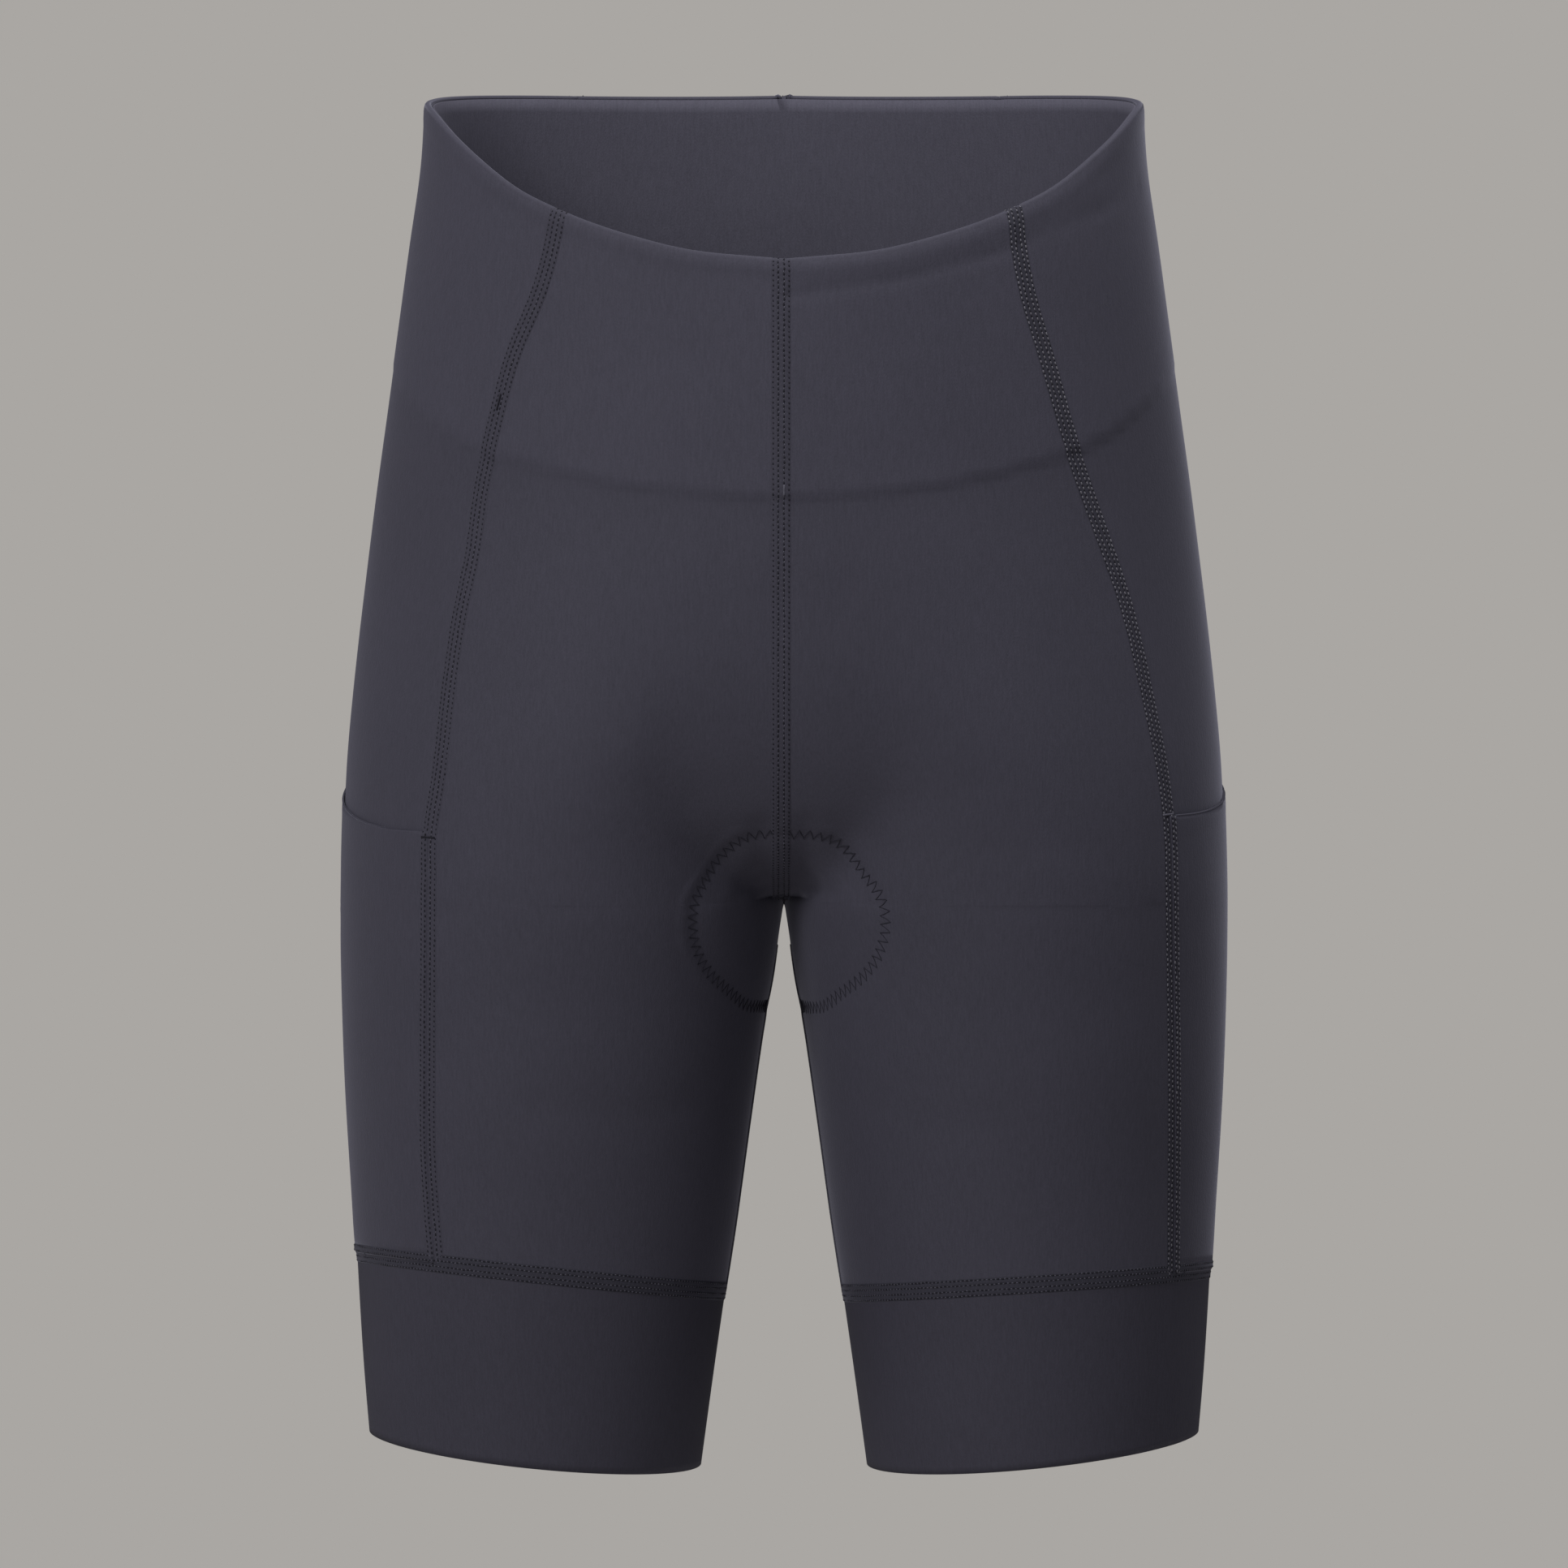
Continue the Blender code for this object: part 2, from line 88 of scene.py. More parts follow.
# %% [markdown]
# ## Studio
#
# Dark jersey shows its form only by soft light. A large light from the upper left in front models the legs, a
# weak one lifts the right side, and a small one above reaches into the waist. Two behind graze the outer
# edges, and a dim room fills the rest. A pale backdrop stands well behind. The floor is a plain disc, low
# enough to stay under the picture, as the shorts float.

# %% Studio light, floor and surroundings
BACKDROP_TONE = (0.402, 0.386, 0.367)
BACKDROP_PLACE = (0.0, 4.6, -0.27)
BACKDROP_SIZE = 2.4
ROOM_TONE = (0.115, 0.113, 0.135)
FLOOR_HEIGHT = -0.95
FLOOR_RADIUS = 2.6
FLOOR_CORNERS = 96
FLOOR_TONE = (0.62, 0.60, 0.57)
TARGET = (0.0, 0.0, -0.27)
LIGHTS = (
    # name, place, width, height, watts
    ("key_light", (-1.4, -2.0, 1.1), 1.0, 1.0, 49.0),
    ("side_light", (3.0, -1.6, 0.4), 1.6, 1.6, 7.0),
    ("waist_light", (0.3, -0.2, 1.0), 0.4, 0.4, 9.5),
    ("edge_light_left", (-3.6, 1.9, 0.2), 1.2, 2.6, 12.0),
    ("edge_light_right", (3.6, 1.9, 0.2), 1.2, 2.6, 5.0),
)


def add_light(name, place, width, height, watts):
    """A soft rectangular light that faces the shorts and doesn't show in the picture."""
    turn = (Vector(TARGET) - Vector(place)).to_track_quat("-Z", "Y").to_euler()
    bpy.ops.object.light_add(type="AREA", location=place, rotation=turn)
    light = bpy.context.object
    light.name = name
    light.data.shape = "RECTANGLE"
    light.data.size = width
    light.data.size_y = height
    light.data.energy = watts
    light.visible_camera = False


def plain_material(name, colour, roughness, **more):
    """A material of one colour. More inputs of its shader are given by their names."""
    material = bpy.data.materials.new(name)
    material.use_nodes = True
    inputs = material.node_tree.nodes["Principled BSDF"].inputs
    inputs["Base Color"].default_value = (*colour, 1.0)
    inputs["Roughness"].default_value = roughness
    for key, value in more.items():
        inputs[key.replace("_", " ")].default_value = value
    return material


for row in LIGHTS:
    add_light(*row)

world = bpy.data.worlds.new("studio")
world.use_nodes = True
world.node_tree.nodes["Background"].inputs["Color"].default_value = (*ROOM_TONE, 1.0)
bpy.context.scene.world = world
bpy.context.scene.view_settings.view_transform = "Standard"

bpy.ops.mesh.primitive_circle_add(
    vertices=FLOOR_CORNERS, radius=FLOOR_RADIUS, fill_type="NGON", location=(0, 0, FLOOR_HEIGHT)
)
floor = bpy.context.object
floor.name = "floor"
floor.data.materials.append(plain_material("pale_floor", FLOOR_TONE, 0.9))

bpy.ops.mesh.primitive_plane_add(size=BACKDROP_SIZE, location=BACKDROP_PLACE, rotation=(math.pi / 2, 0, 0))
backdrop = bpy.context.object
backdrop.name = "backdrop"
glow = {"Emission_Color": (*BACKDROP_TONE, 1.0), "Emission_Strength": 1.0, "Specular_IOR_Level": 0.0}
backdrop.data.materials.append(plain_material("backdrop_paper", (0, 0, 0), 1.0, **glow))
print("lights:", [row[0] for row in LIGHTS])

# %% [markdown]
# ## Selecting and reading points
#
# An operator acts on everything that is selected. Before each step these helpers deselect all, select the
# pieces that the step works on, and read or write a piece's points as one table in metres.

# %% Selecting and reading points
def pick(*things):
    """Selects these objects only. The first one is active."""
    bpy.ops.object.select_all(action="DESELECT")
    for thing in things:
        thing.select_set(True)
    bpy.context.view_layer.objects.active = things[0]


def read(items, name, width=3):
    """One table of a value of all points, faces or edges of a mesh."""
    flat = np.empty(len(items) * width, np.float64 if width == 3 else np.int64)
    items.foreach_get(name, flat)
    return flat.reshape(-1, width)


def points_of(piece):
    return read(piece.data.vertices, "co")


def normals_of(piece):
    return read(piece.data.vertices, "normal")


def move_points(piece, points):
    piece.data.vertices.foreach_set("co", points.ravel())
    piece.data.update()


def smooth_step(values):
    """0 below 0, 1 above 1, and a soft rise between."""
    share = np.clip(values, 0, 1)
    return share * share * (3 - 2 * share)


def bell(distance, width):
    """1 at no distance, and falling softly over the width."""
    return np.exp(-((distance / width) ** 2))


def unit(directions):
    """The same directions, each with a length of 1."""
    return directions / np.linalg.norm(directions, axis=1)[:, None]


# %% [markdown]
# ## Cloth from the solids
#
# Each solid is a wall with two skins. Real jersey is thinner and smooth, so a copy is merged, its sharp edges
# are marked, and only the skin that shows is kept: the outside, or the inside for the waist facing. Its
# triangles go back to quads, and a Subdivision Surface rounds them. Subdivision pulls a surface inwards, so
# the coarse points are first pushed out until the smooth cloth passes through the solid's own points.

# %% Skin of a solid
LEG_MIDDLE = 0.086
SKIN_EDGE_ANGLE = math.radians(50)
MERGE = 0.01 * MM


def facing_out(piece):
    """How far each face looks away from the middle of its own leg."""
    centres = read(piece.data.polygons, "center")
    normals = read(piece.data.polygons, "normal")
    centres[:, 0] -= np.where(centres[:, 0] >= 0, LEG_MIDDLE, -LEG_MIDDLE)
    centres[:, 2] = 0
    return (centres * normals).sum(axis=1)


def copy_of_solid(node, name):
    """A bare copy of a solid with its loose triangles merged, left in edit mode."""
    piece = bpy.data.objects.new(name, frame["nodes"][node].data.copy())
    bpy.context.scene.collection.objects.link(piece)
    piece.data.name = name
    piece.data.materials.clear()
    pick(piece)
    bpy.ops.object.mode_set(mode="EDIT")
    bpy.ops.mesh.select_mode(type="EDGE")
    bpy.ops.mesh.select_all(action="SELECT")
    bpy.ops.mesh.remove_doubles(threshold=MERGE)
    return piece


def skin_of(node, name, outside=True):
    """The outer or the inner skin of a solid, as an open sheet of quads."""
    piece = copy_of_solid(node, name)
    bpy.ops.mesh.select_all(action="DESELECT")
    bpy.ops.mesh.edges_select_sharp(sharpness=SKIN_EDGE_ANGLE)
    bpy.ops.mesh.mark_seam(clear=False)
    bpy.ops.mesh.select_all(action="DESELECT")
    bpy.ops.mesh.select_mode(type="FACE")
    bpy.ops.object.mode_set(mode="OBJECT")
    away = facing_out(piece)
    piece.data.polygons[int(away.argmax() if outside else away.argmin())].select = True
    bpy.ops.object.mode_set(mode="EDIT")
    bpy.ops.mesh.select_linked(delimit={"SEAM"})
    bpy.ops.mesh.select_all(action="INVERT")
    bpy.ops.mesh.delete(type="FACE")
    bpy.ops.mesh.select_all(action="SELECT")
    bpy.ops.mesh.mark_seam(clear=True)
    bpy.ops.mesh.tris_convert_to_quads(face_threshold=math.pi, shape_threshold=math.pi)
    bpy.ops.object.mode_set(mode="OBJECT")
    return piece


# %% Smooth a sheet through its own points
FITTING_ROUNDS = 5


def shown_points(piece, count):
    """The first points of a piece as its modifiers leave them."""
    shown = piece.evaluated_get(bpy.context.evaluated_depsgraph_get())
    places = read(shown.to_mesh().vertices, "co")[:count]
    shown.to_mesh_clear()
    return places


def smooth_through(piece, levels):
    """Subdivides a sheet so that the smooth surface keeps the points it was given."""
    pick(piece)
    goal = points_of(piece)
    bpy.ops.object.modifier_add(type="SUBSURF")
    rounding = piece.modifiers[-1]
    rounding.levels = rounding.render_levels = levels
    rounding.boundary_smooth = "PRESERVE_CORNERS"
    for _ in range(FITTING_ROUNDS):
        move_points(piece, points_of(piece) + goal - shown_points(piece, len(goal)))
    bpy.ops.object.modifier_apply(modifier=rounding.name)
    piece.data.shade_smooth()


SIDES = ("left", "right")
PANELS = [part + "_" + side for side in SIDES for part in ("front", "side", "back")]
SHEETS = PANELS + ["leg_band_left", "leg_band_right", "pocket_left", "pocket_right"]
cloth = {node: skin_of(node, node + "_cloth") for node in SHEETS}
cloth["waist_facing"] = skin_of("waist_facing", "waist_facing_cloth", outside=False)
print("coarse faces:", {name: len(piece.data.polygons) for name, piece in cloth.items()})

# %% [markdown]
# ## Edges of the cloth
#
# Seams, hems and folds are worked along the open edges of the sheets. An edge that has only one face is open.
# Walking from edge to edge gives a line of points in order, from the top down.

# %% Open edges and lines
EDGE_SAMPLES = 12


def open_edges(piece):
    """Pairs of point numbers, one for each open edge of a sheet."""
    mesh = piece.data
    used = read(mesh.loops, "edge_index", 1).ravel()
    ends = read(mesh.edges, "vertices", 2)
    return ends[np.bincount(used, minlength=len(ends)) == 1]


def walk(pairs, heights):
    """Point numbers along the longest chain of pairs, from its higher end, and whether it is a ring."""
    beside = {}
    for a, b in pairs:
        beside.setdefault(int(a), []).append(int(b))
        beside.setdefault(int(b), []).append(int(a))
    chains = []
    left = sorted(beside, key=lambda spot: (len(beside[spot]), -heights[spot]))
    while left:
        order = [left[0]]
        onward = beside[order[0]][:1]
        while onward and onward[0] != order[0]:
            order.append(onward[0])
            onward = [spot for spot in beside[order[-1]] if spot != order[-2]]
        chains.append((order, bool(onward)))
        left = [spot for spot in left if spot not in set(order)]
    return max(chains, key=lambda chain: len(chain[0]))


def near(points, targets):
    """For each point, the number of the nearest target and its distance."""
    tree = KDTree(len(targets))
    for spot, target in enumerate(targets.tolist()):
        tree.insert(target, spot)
    tree.balance()
    found = [tree.find(point) for point in points.tolist()]
    return np.array([hit[1] for hit in found]), np.array([hit[2] for hit in found])


def between(ends):
    """Rows close together from each edge's first end to its other end."""
    shares = np.arange(0, 1, 1 / EDGE_SAMPLES)[:, None, None]
    return (ends[:, 0] * (1 - shares) + ends[:, 1] * shares).reshape(-1, ends.shape[2])


def edge_samples(piece):
    """Places close together along all open edges of a sheet, each with the direction outwards."""
    return between(np.hstack([points_of(piece), normals_of(piece)])[open_edges(piece)])


def edge_near(piece, others, reach):
    """The open edge of a piece along other pieces: points in order, and whether they close to a ring."""
    pairs = open_edges(piece)
    places = points_of(piece)
    spots = np.unique(pairs)
    _, gaps = near(places[spots], np.concatenate([edge_samples(other)[:, :3] for other in others]))
    kept = set(spots[gaps < reach].tolist())
    return walk([pair for pair in pairs.tolist() if kept.issuperset(pair)], places[:, 2])


# %% [markdown]
# ## Sewing the panels together
#
# The gap between the legs is narrow in the photograph, so the smooth cloth is drawn a little together there.
# The panels stand 0.3 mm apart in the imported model. Sewn cloth meets, so each edge point is moved half of the
# way to its neighbour's edge. As both neighbours do this, they meet in the middle.

# %% Smooth the sheets and sew the panels together
FINE = 3
MEDIUM = 2
CROTCH = (0.0, 0.0, -0.316)
CROTCH_RISE = 2.8 * MM
CROTCH_SPREAD = (16 * MM, 60 * MM, 12 * MM)
THIGHS_CLOSER = 1.25 * MM
THIGH_REACH = 8 * MM
THIGH_HEIGHT = -0.336
THIGH_SPREAD = 20 * MM


def with_narrow_gap(points):
    """Points near the crotch moved up and in, as the gap between the legs is narrow in the photograph."""
    moved = points.copy()
    aside = points[:, 0] / THIGH_REACH
    nearness = bell(points[:, 2] - THIGH_HEIGHT, THIGH_SPREAD)
    moved[:, 0] -= THIGHS_CLOSER * aside * np.exp(0.5 - aside**2 / 2) * nearness
    moved[:, 2] += CROTCH_RISE * np.exp(-(((points - CROTCH) / CROTCH_SPREAD) ** 2).sum(axis=1))
    return moved


for node, piece in cloth.items():
    smooth_through(piece, FINE if node.startswith(("front", "side", "leg_band")) else MEDIUM)
    move_points(piece, with_narrow_gap(points_of(piece)))


SEWN = PANELS + ["leg_band_left", "leg_band_right"]
SEAM_REACH = 0.8 * MM
INSIDE_HEIGHT = -0.27
CROTCH_PULL = 50 * MM


def neighbour_edges(node):
    """For a sheet's edge points on a seam: their numbers, and the neighbour's place and direction."""
    samples = np.concatenate([edge_samples(cloth[other]) for other in SEWN if other != node])
    spots = np.unique(open_edges(cloth[node]))
    nearest, gaps = near(points_of(cloth[node])[spots], samples[:, :3])
    joined = gaps < SEAM_REACH
    return spots[joined], samples[nearest[joined]]


def away_from_inside(points):
    """Directions from the middle of the nearer leg, and downwards too from the crotch on."""
    away = points.copy()
    away[:, 0] -= np.where(points[:, 0] >= 0, LEG_MIDDLE, -LEG_MIDDLE)
    away[:, 2] = np.clip(points[:, 2] - INSIDE_HEIGHT, -CROTCH_PULL, 0)
    return away


def outward_of(node):
    """Directions outwards of a sheet's points. On a seam they are the mean of both neighbours' directions."""
    outward = normals_of(cloth[node])
    spots, beside = neighbour_edges(node)
    outward[spots] += beside[:, 3:]
    outward *= np.sign((outward * away_from_inside(points_of(cloth[node]))).sum(axis=1))[:, None]
    return unit(outward)


def sew():
    """Moves the edge points of all neighbours half of the way to each other."""
    joined = {node: neighbour_edges(node) for node in SEWN}
    for node, (spots, beside) in joined.items():
        places = points_of(cloth[node])
        places[spots] = (places[spots] + beside[:, :3]) / 2
        move_points(cloth[node], places)


sew()
print("faces:", {name: len(piece.data.polygons) for name, piece in cloth.items()})

# %% Heights of the rim and of the facing's lower edge, by angle round the waist
FACING_SPLIT = -80 * MM


def angle_of(points):
    return np.degrees(np.arctan2(points[:, 1], points[:, 0]))


facing_points = points_of(cloth["waist_facing"])
facing_edge = facing_points[np.unique(open_edges(cloth["waist_facing"]))]
upper = facing_edge[facing_edge[:, 2] > FACING_SPLIT]
lower = facing_edge[facing_edge[:, 2] < FACING_SPLIT]


def edge_height(edge, points):
    """Height of the rim or of the facing's lower edge, above or below the points."""
    order = np.argsort(angle_of(edge))
    return np.interp(angle_of(points), angle_of(edge)[order], edge[order, 2], period=360)


print("rim heights in mm:", np.round(upper[:, 2].min() / MM, 1), "to", np.round(upper[:, 2].max() / MM, 1))

# %% [markdown]
# ## Outline of the pad
#
# The saddle pad is sewn in with a zigzag that shows outside. Its line is the edge of the pad's solid,
# rounded and laid on the cloth. In front the pad reaches a little further on one leg than on the other.

# %% Outline of the pad on the cloth
LINE_STEP = 1.0 * MM
PAD_ROUNDING = 9
PAD_REACH = {"left": 1.07, "right": 0.93}
PAD_FRONT_BLEND = 30 * MM


def resample(line, step, closed):
    """A line again, with points an even step apart."""
    if closed:
        line = np.concatenate([line, line[:1]])
    along = np.concatenate([[0], np.cumsum(np.linalg.norm(np.diff(line[:, :3], axis=0), axis=1))])
    count = max(2, round(along[-1] / step))
    stops = np.linspace(0, along[-1], count + 1)[: count if closed else None]
    return np.stack([np.interp(stops, along, line[:, k]) for k in range(line.shape[1])], axis=1)


def rounded_ring(line, reach):
    """A ring of points, each moved to the mean of its neighbours up to that many away."""
    return np.mean([np.roll(line, shift, axis=0) for shift in range(-reach, reach + 1)], axis=0)


def surface_of(pieces):
    """A search tree of the pieces' faces."""
    places, faces, count = [], [], 0
    for piece in pieces:
        places.append(points_of(piece))
        faces += [[spot + count for spot in face.vertices] for face in piece.data.polygons]
        count += len(places[-1])
    return BVHTree.FromPolygons(np.concatenate(places).tolist(), faces)


pad_skin = skin_of("chamois_pad", "pad_outline")
move_points(pad_skin, with_narrow_gap(points_of(pad_skin)))
order, closed = walk(open_edges(pad_skin).tolist(), points_of(pad_skin)[:, 2])
pad_ring = rounded_ring(resample(points_of(pad_skin)[order], LINE_STEP, True), PAD_ROUNDING)
reach = np.where(pad_ring[:, 0] > 0, PAD_REACH["left"], PAD_REACH["right"])
pad_ring[:, 0] *= 1 + (reach - 1) * smooth_step(-pad_ring[:, 1] / PAD_FRONT_BLEND)
panel_surface = surface_of([cloth[node] for node in PANELS])
pad_line = np.array([panel_surface.find_nearest(point)[0] for point in pad_ring.tolist()])
pad_surface = surface_of([pad_skin])
bpy.data.objects.remove(pad_skin)
print("the pad's stitch line is", round(len(pad_line) * LINE_STEP, 3), "m long, closed:", closed)

# %% [markdown]
# ## Relief of the cloth
#
# Tight jersey has no deep folds, but light catches on small things. The doubled waist stands a little higher
# down to the facing's edge, the fold leaves a faint ridge along the rim, the pad swells the crotch inside its
# stitches, and a few soft creases cross the cloth where it is pulled. The points are moved straight outwards.

# %% Relief of the cloth
FACING_STEP = 0.75 * MM
FACING_FADE = 2.0 * MM
FACING_SIDES = 0.4
FRONT_DEPTH = 60 * MM
RIDGE_PLACE = 4.5 * MM
RIDGE_WIDTH = 1.6 * MM
RIDGE_LIFT = 0.35 * MM
PAD_SWELL = 1.3 * MM
PAD_FADE = 15 * MM
SEAM_HOLD = 3 * MM
PAD_DEPTH = 5.5 * MM
PAD_EDGE = 1.5 * MM
TROUGH_WIDTH = 2.6 * MM
TROUGH_DEPTH = 0.45 * MM
OUTSIDE = 0.4
COARSE = 4
CREASE_REACH = 4
CREASES = (
    # side of the body, width, lift, then places as (x, z), all in mm
    ("front", 2.2, -0.50, ((2, -83), (42, -77), (81, -66), (121, -48), (138, -35))),
    ("front", 4.0, 0.30, ((10, -75), (50, -70), (88, -55), (120, -38))),
    ("front", 2.2, -0.32, ((4, -66), (37, -63), (62, -56), (85, -46))),
    ("front", 5.5, -1.0, ((-9, -286), (-9.5, -294), (-9, -303))),
    ("front", 5.0, -0.9, ((8, -285), (8.5, -294), (8, -302))),
    ("front", 9.0, -0.40, ((-16, -268), (-40, -276), (-66, -270))),
    ("front", 9.0, -0.35, ((18, -270), (44, -279), (70, -271))),
    ("front", 8.0, -0.5, ((-28, -388), (-58, -398), (-92, -392))),
    ("front", 8.0, -0.4, ((34, -392), (60, -401), (84, -398))),
    ("back", 11.0, -1.4, ((-22, -318), (-60, -332), (-104, -326), (-132, -312))),
    ("back", 10.0, -1.2, ((24, -320), (64, -335), (100, -329), (128, -317))),
    ("back", 8.0, -0.6, ((-38, -352), (-72, -360), (-100, -354))),
    ("back", 8.0, -0.7, ((44, -350), (76, -359), (110, -352))),
    ("back", 9.0, -0.6, ((-30, -112), (-64, -124), (-96, -120))),
    ("back", 9.0, -0.5, ((26, -118), (58, -127), (88, -121))),
)


def crease_line(side, places):
    """A crease's places on the cloth, as a line with even steps."""
    way = -1 if side == "front" else 1
    line = []
    for x, z in places:
        line.append(panel_surface.ray_cast((x * MM, way * OUTSIDE, z * MM), (0, -way, 0))[0])
    return resample(np.array(line), COARSE * LINE_STEP, False)


def distance_to(points, line, limit):
    """Distance from each point to a line, and the limit where it is further."""
    found = np.full(len(points), limit)
    low, high = line.min(axis=0) - limit, line.max(axis=0) + limit
    close = ((points > low) & (points < high)).all(axis=1)
    if close.any():
        gaps = np.linalg.norm(points[close][:, None] - line[None], axis=2)
        found[close] = np.minimum(gaps.min(axis=1), limit)
    return found


def over_pad(points):
    """1 for points that lie over the pad, falling to 0 a little outside its edge."""
    depths = [pad_surface.find_nearest(point, PAD_DEPTH)[3] or PAD_DEPTH for point in points.tolist()]
    return smooth_step((PAD_DEPTH - np.array(depths)) / PAD_EDGE)


def doubled_share(points):
    """1 where the facing doubles the cloth, falling to 0 at the facing's lower edge."""
    return smooth_step((points[:, 2] - edge_height(lower, points)) / FACING_FADE + 0.5)


def relief(points):
    """How far each point of a panel is moved out."""
    below_rim = edge_height(upper, points) - points[:, 2]
    in_front = FACING_SIDES + (1 - FACING_SIDES) * smooth_step(-points[:, 1] / FRONT_DEPTH)
    lift = FACING_STEP * in_front * doubled_share(points)
    lift += RIDGE_LIFT * bell(below_rim - RIDGE_PLACE, RIDGE_WIDTH)
    from_stitches = distance_to(points, pad_line[::COARSE], 2 * PAD_FADE)
    from_middle = smooth_step((np.abs(points[:, 0]) - SEAM_HOLD) / PAD_FADE)
    lift += PAD_SWELL * smooth_step(from_stitches / PAD_FADE) * from_middle * over_pad(points)
    lift -= TROUGH_DEPTH * bell(from_stitches, TROUGH_WIDTH)
    for line, width, height in crease_lines:
        lift += height * bell(distance_to(points, line, CREASE_REACH * width), width)
    return lift


crease_lines = [(crease_line(side, places), width * MM, lift * MM) for side, width, lift, places in CREASES]
outward = {node: outward_of(node) for node in SEWN}
for node in PANELS:
    places = points_of(cloth[node])
    lift = relief(places)
    move_points(cloth[node], places + outward[node] * lift[:, None])
    doubled = cloth[node].data.attributes.new("doubled", "FLOAT", "POINT")
    doubled.data.foreach_set("value", doubled_share(places))
    print(node, "relief in mm from", round(lift.min() / MM, 2), "to", round(lift.max() / MM, 2))
sew()

# %% [markdown]
# ## Seam lines
#
# Along each seam the shared edge gives a line of points, and the mean of both neighbours' directions outwards
# goes with it. The lines later carry the stitches.

# %% Seam lines
SEAM_STEP = 1.0 * MM
CROTCH_END = 7 * MM
INSEAM_START = 2.6 * MM
RIM_REACH = 0.3 * MM
SEAMS = (
    # name, the piece whose edge is followed, its neighbours
    ("center_front_seam", "front_left", ("front_right",)),
    ("center_back_seam", "back_left", ("back_right",)),
    ("front_seam_left", "side_left", ("front_left",)),
    ("front_seam_right", "side_right", ("front_right",)),
    ("back_seam_left", "back_left", ("side_left",)),
    ("back_seam_right", "back_right", ("side_right",)),
    ("inseam_left", "back_left", ("front_left",)),
    ("inseam_right", "back_right", ("front_right",)),
    ("band_seam_left", "leg_band_left", ("front_left", "side_left", "back_left")),
    ("band_seam_right", "leg_band_right", ("front_right", "side_right", "back_right")),
)

seams = {}
for name, followed, neighbours in SEAMS:
    order, closed = edge_near(cloth[followed], [cloth[other] for other in neighbours], SEAM_REACH)
    line = np.hstack([points_of(cloth[followed])[order], outward_of(followed)[order]])
    at_rim = np.abs(edge_height(upper, line) - line[:, 2]) < RIM_REACH
    if at_rim[0] and at_rim[1]:
        line = line[1:]
    if name.startswith("center"):
        line = line[np.abs(line[:, 1]) > CROTCH_END]
    if name.startswith("inseam"):
        line = line[np.abs(line[:, 0]) > INSEAM_START]
    seams[name] = (resample(line, SEAM_STEP, closed), closed)
    print(name, "is", round(len(seams[name][0]) * SEAM_STEP, 3), "m long", "and closed" if closed else "")

# %% [markdown]
# ## Thickness of the cloth
#
# Jersey for such shorts is under a millimetre thick. The sheets are skins without thickness, so a Solidify
# modifier gives each one a wall on its inner side. At the waist the real cloth is folded over and becomes the
# facing, so the panels' upper edges are first rolled over in a half circle that ends at the facing.

# %% Fold of the rim
FOLD_RADIUS = 1.55 * MM
FOLD_STEPS = 6


def rim_spots(node):
    """Point numbers along the upper edge of a panel, which is its only edge that isn't sewn."""
    pairs = open_edges(cloth[node])
    sewn, _ = neighbour_edges(node)
    spots = np.unique(pairs[~np.isin(pairs, sewn).all(axis=1)])
    return spots[points_of(cloth[node])[spots, 2] > FACING_SPLIT]


def select_points(piece, spots):
    """Selects these points and the edges between them, in edit mode."""
    pick(piece)
    bpy.ops.object.mode_set(mode="EDIT")
    bpy.ops.mesh.select_mode(type="VERT")
    bpy.ops.mesh.select_all(action="DESELECT")
    bpy.ops.object.mode_set(mode="OBJECT")
    chosen = np.zeros(len(piece.data.vertices), bool)
    chosen[spots] = True
    piece.data.vertices.foreach_set("select", chosen)
    bpy.ops.object.mode_set(mode="EDIT")
    bpy.ops.mesh.select_mode(type="EDGE")


def roll_rim(node):
    """Rolls a panel's upper edge inwards and down in a half circle, and gives places along its end."""
    piece = cloth[node]
    spots = rim_spots(node)
    directions = unit(outward_of(node)[spots] * (1, 1, 0))
    places = points_of(piece)
    places[spots, 2] -= FOLD_RADIUS
    move_points(piece, places)
    start = places[spots]
    for step in range(1, FOLD_STEPS + 1):
        turn = math.pi * step / FOLD_STEPS
        select_points(piece, spots)
        bpy.ops.mesh.extrude_edges_move()
        bpy.ops.object.mode_set(mode="OBJECT")
        chosen = np.array([point.select for point in piece.data.vertices])
        grown = np.flatnonzero(chosen)
        places = points_of(piece)
        order, _ = near(places[grown], places[spots])
        places[grown] = start[order] - directions[order] * FOLD_RADIUS * (1 - math.cos(turn))
        places[grown, 2] += FOLD_RADIUS * math.sin(turn)
        move_points(piece, places)
        back = np.empty(len(spots), int)
        back[order] = grown
        spots = back
    fresh = set(spots.tolist())
    pairs = [pair for pair in open_edges(piece).tolist() if fresh.issuperset(pair)]
    return between(points_of(piece)[np.array(pairs)])


fold_end = np.concatenate([roll_rim(node) for node in PANELS])
facing = cloth["waist_facing"]
places = points_of(facing)
spots = np.unique(open_edges(facing))
spots = spots[places[spots, 2] > FACING_SPLIT]
nearest, _ = near(places[spots] - (0, 0, FOLD_RADIUS), fold_end)
places[spots] = fold_end[nearest]
move_points(facing, places)
print("rolled the rim; the facing starts", round(FOLD_RADIUS / MM, 2), "mm below it")

# %% Walls
WALL = 0.8 * MM
BAND_WALL = 0.9 * MM


def thicken(piece, thickness, outwards=False):
    """A wall on the inner side of a sheet, or on its outer side."""
    pick(piece)
    bpy.ops.object.modifier_add(type="SOLIDIFY")
    wall = piece.modifiers[-1]
    wall.thickness = thickness
    wall.offset = 1 if outwards else -1
    bpy.ops.object.modifier_apply(modifier=wall.name)


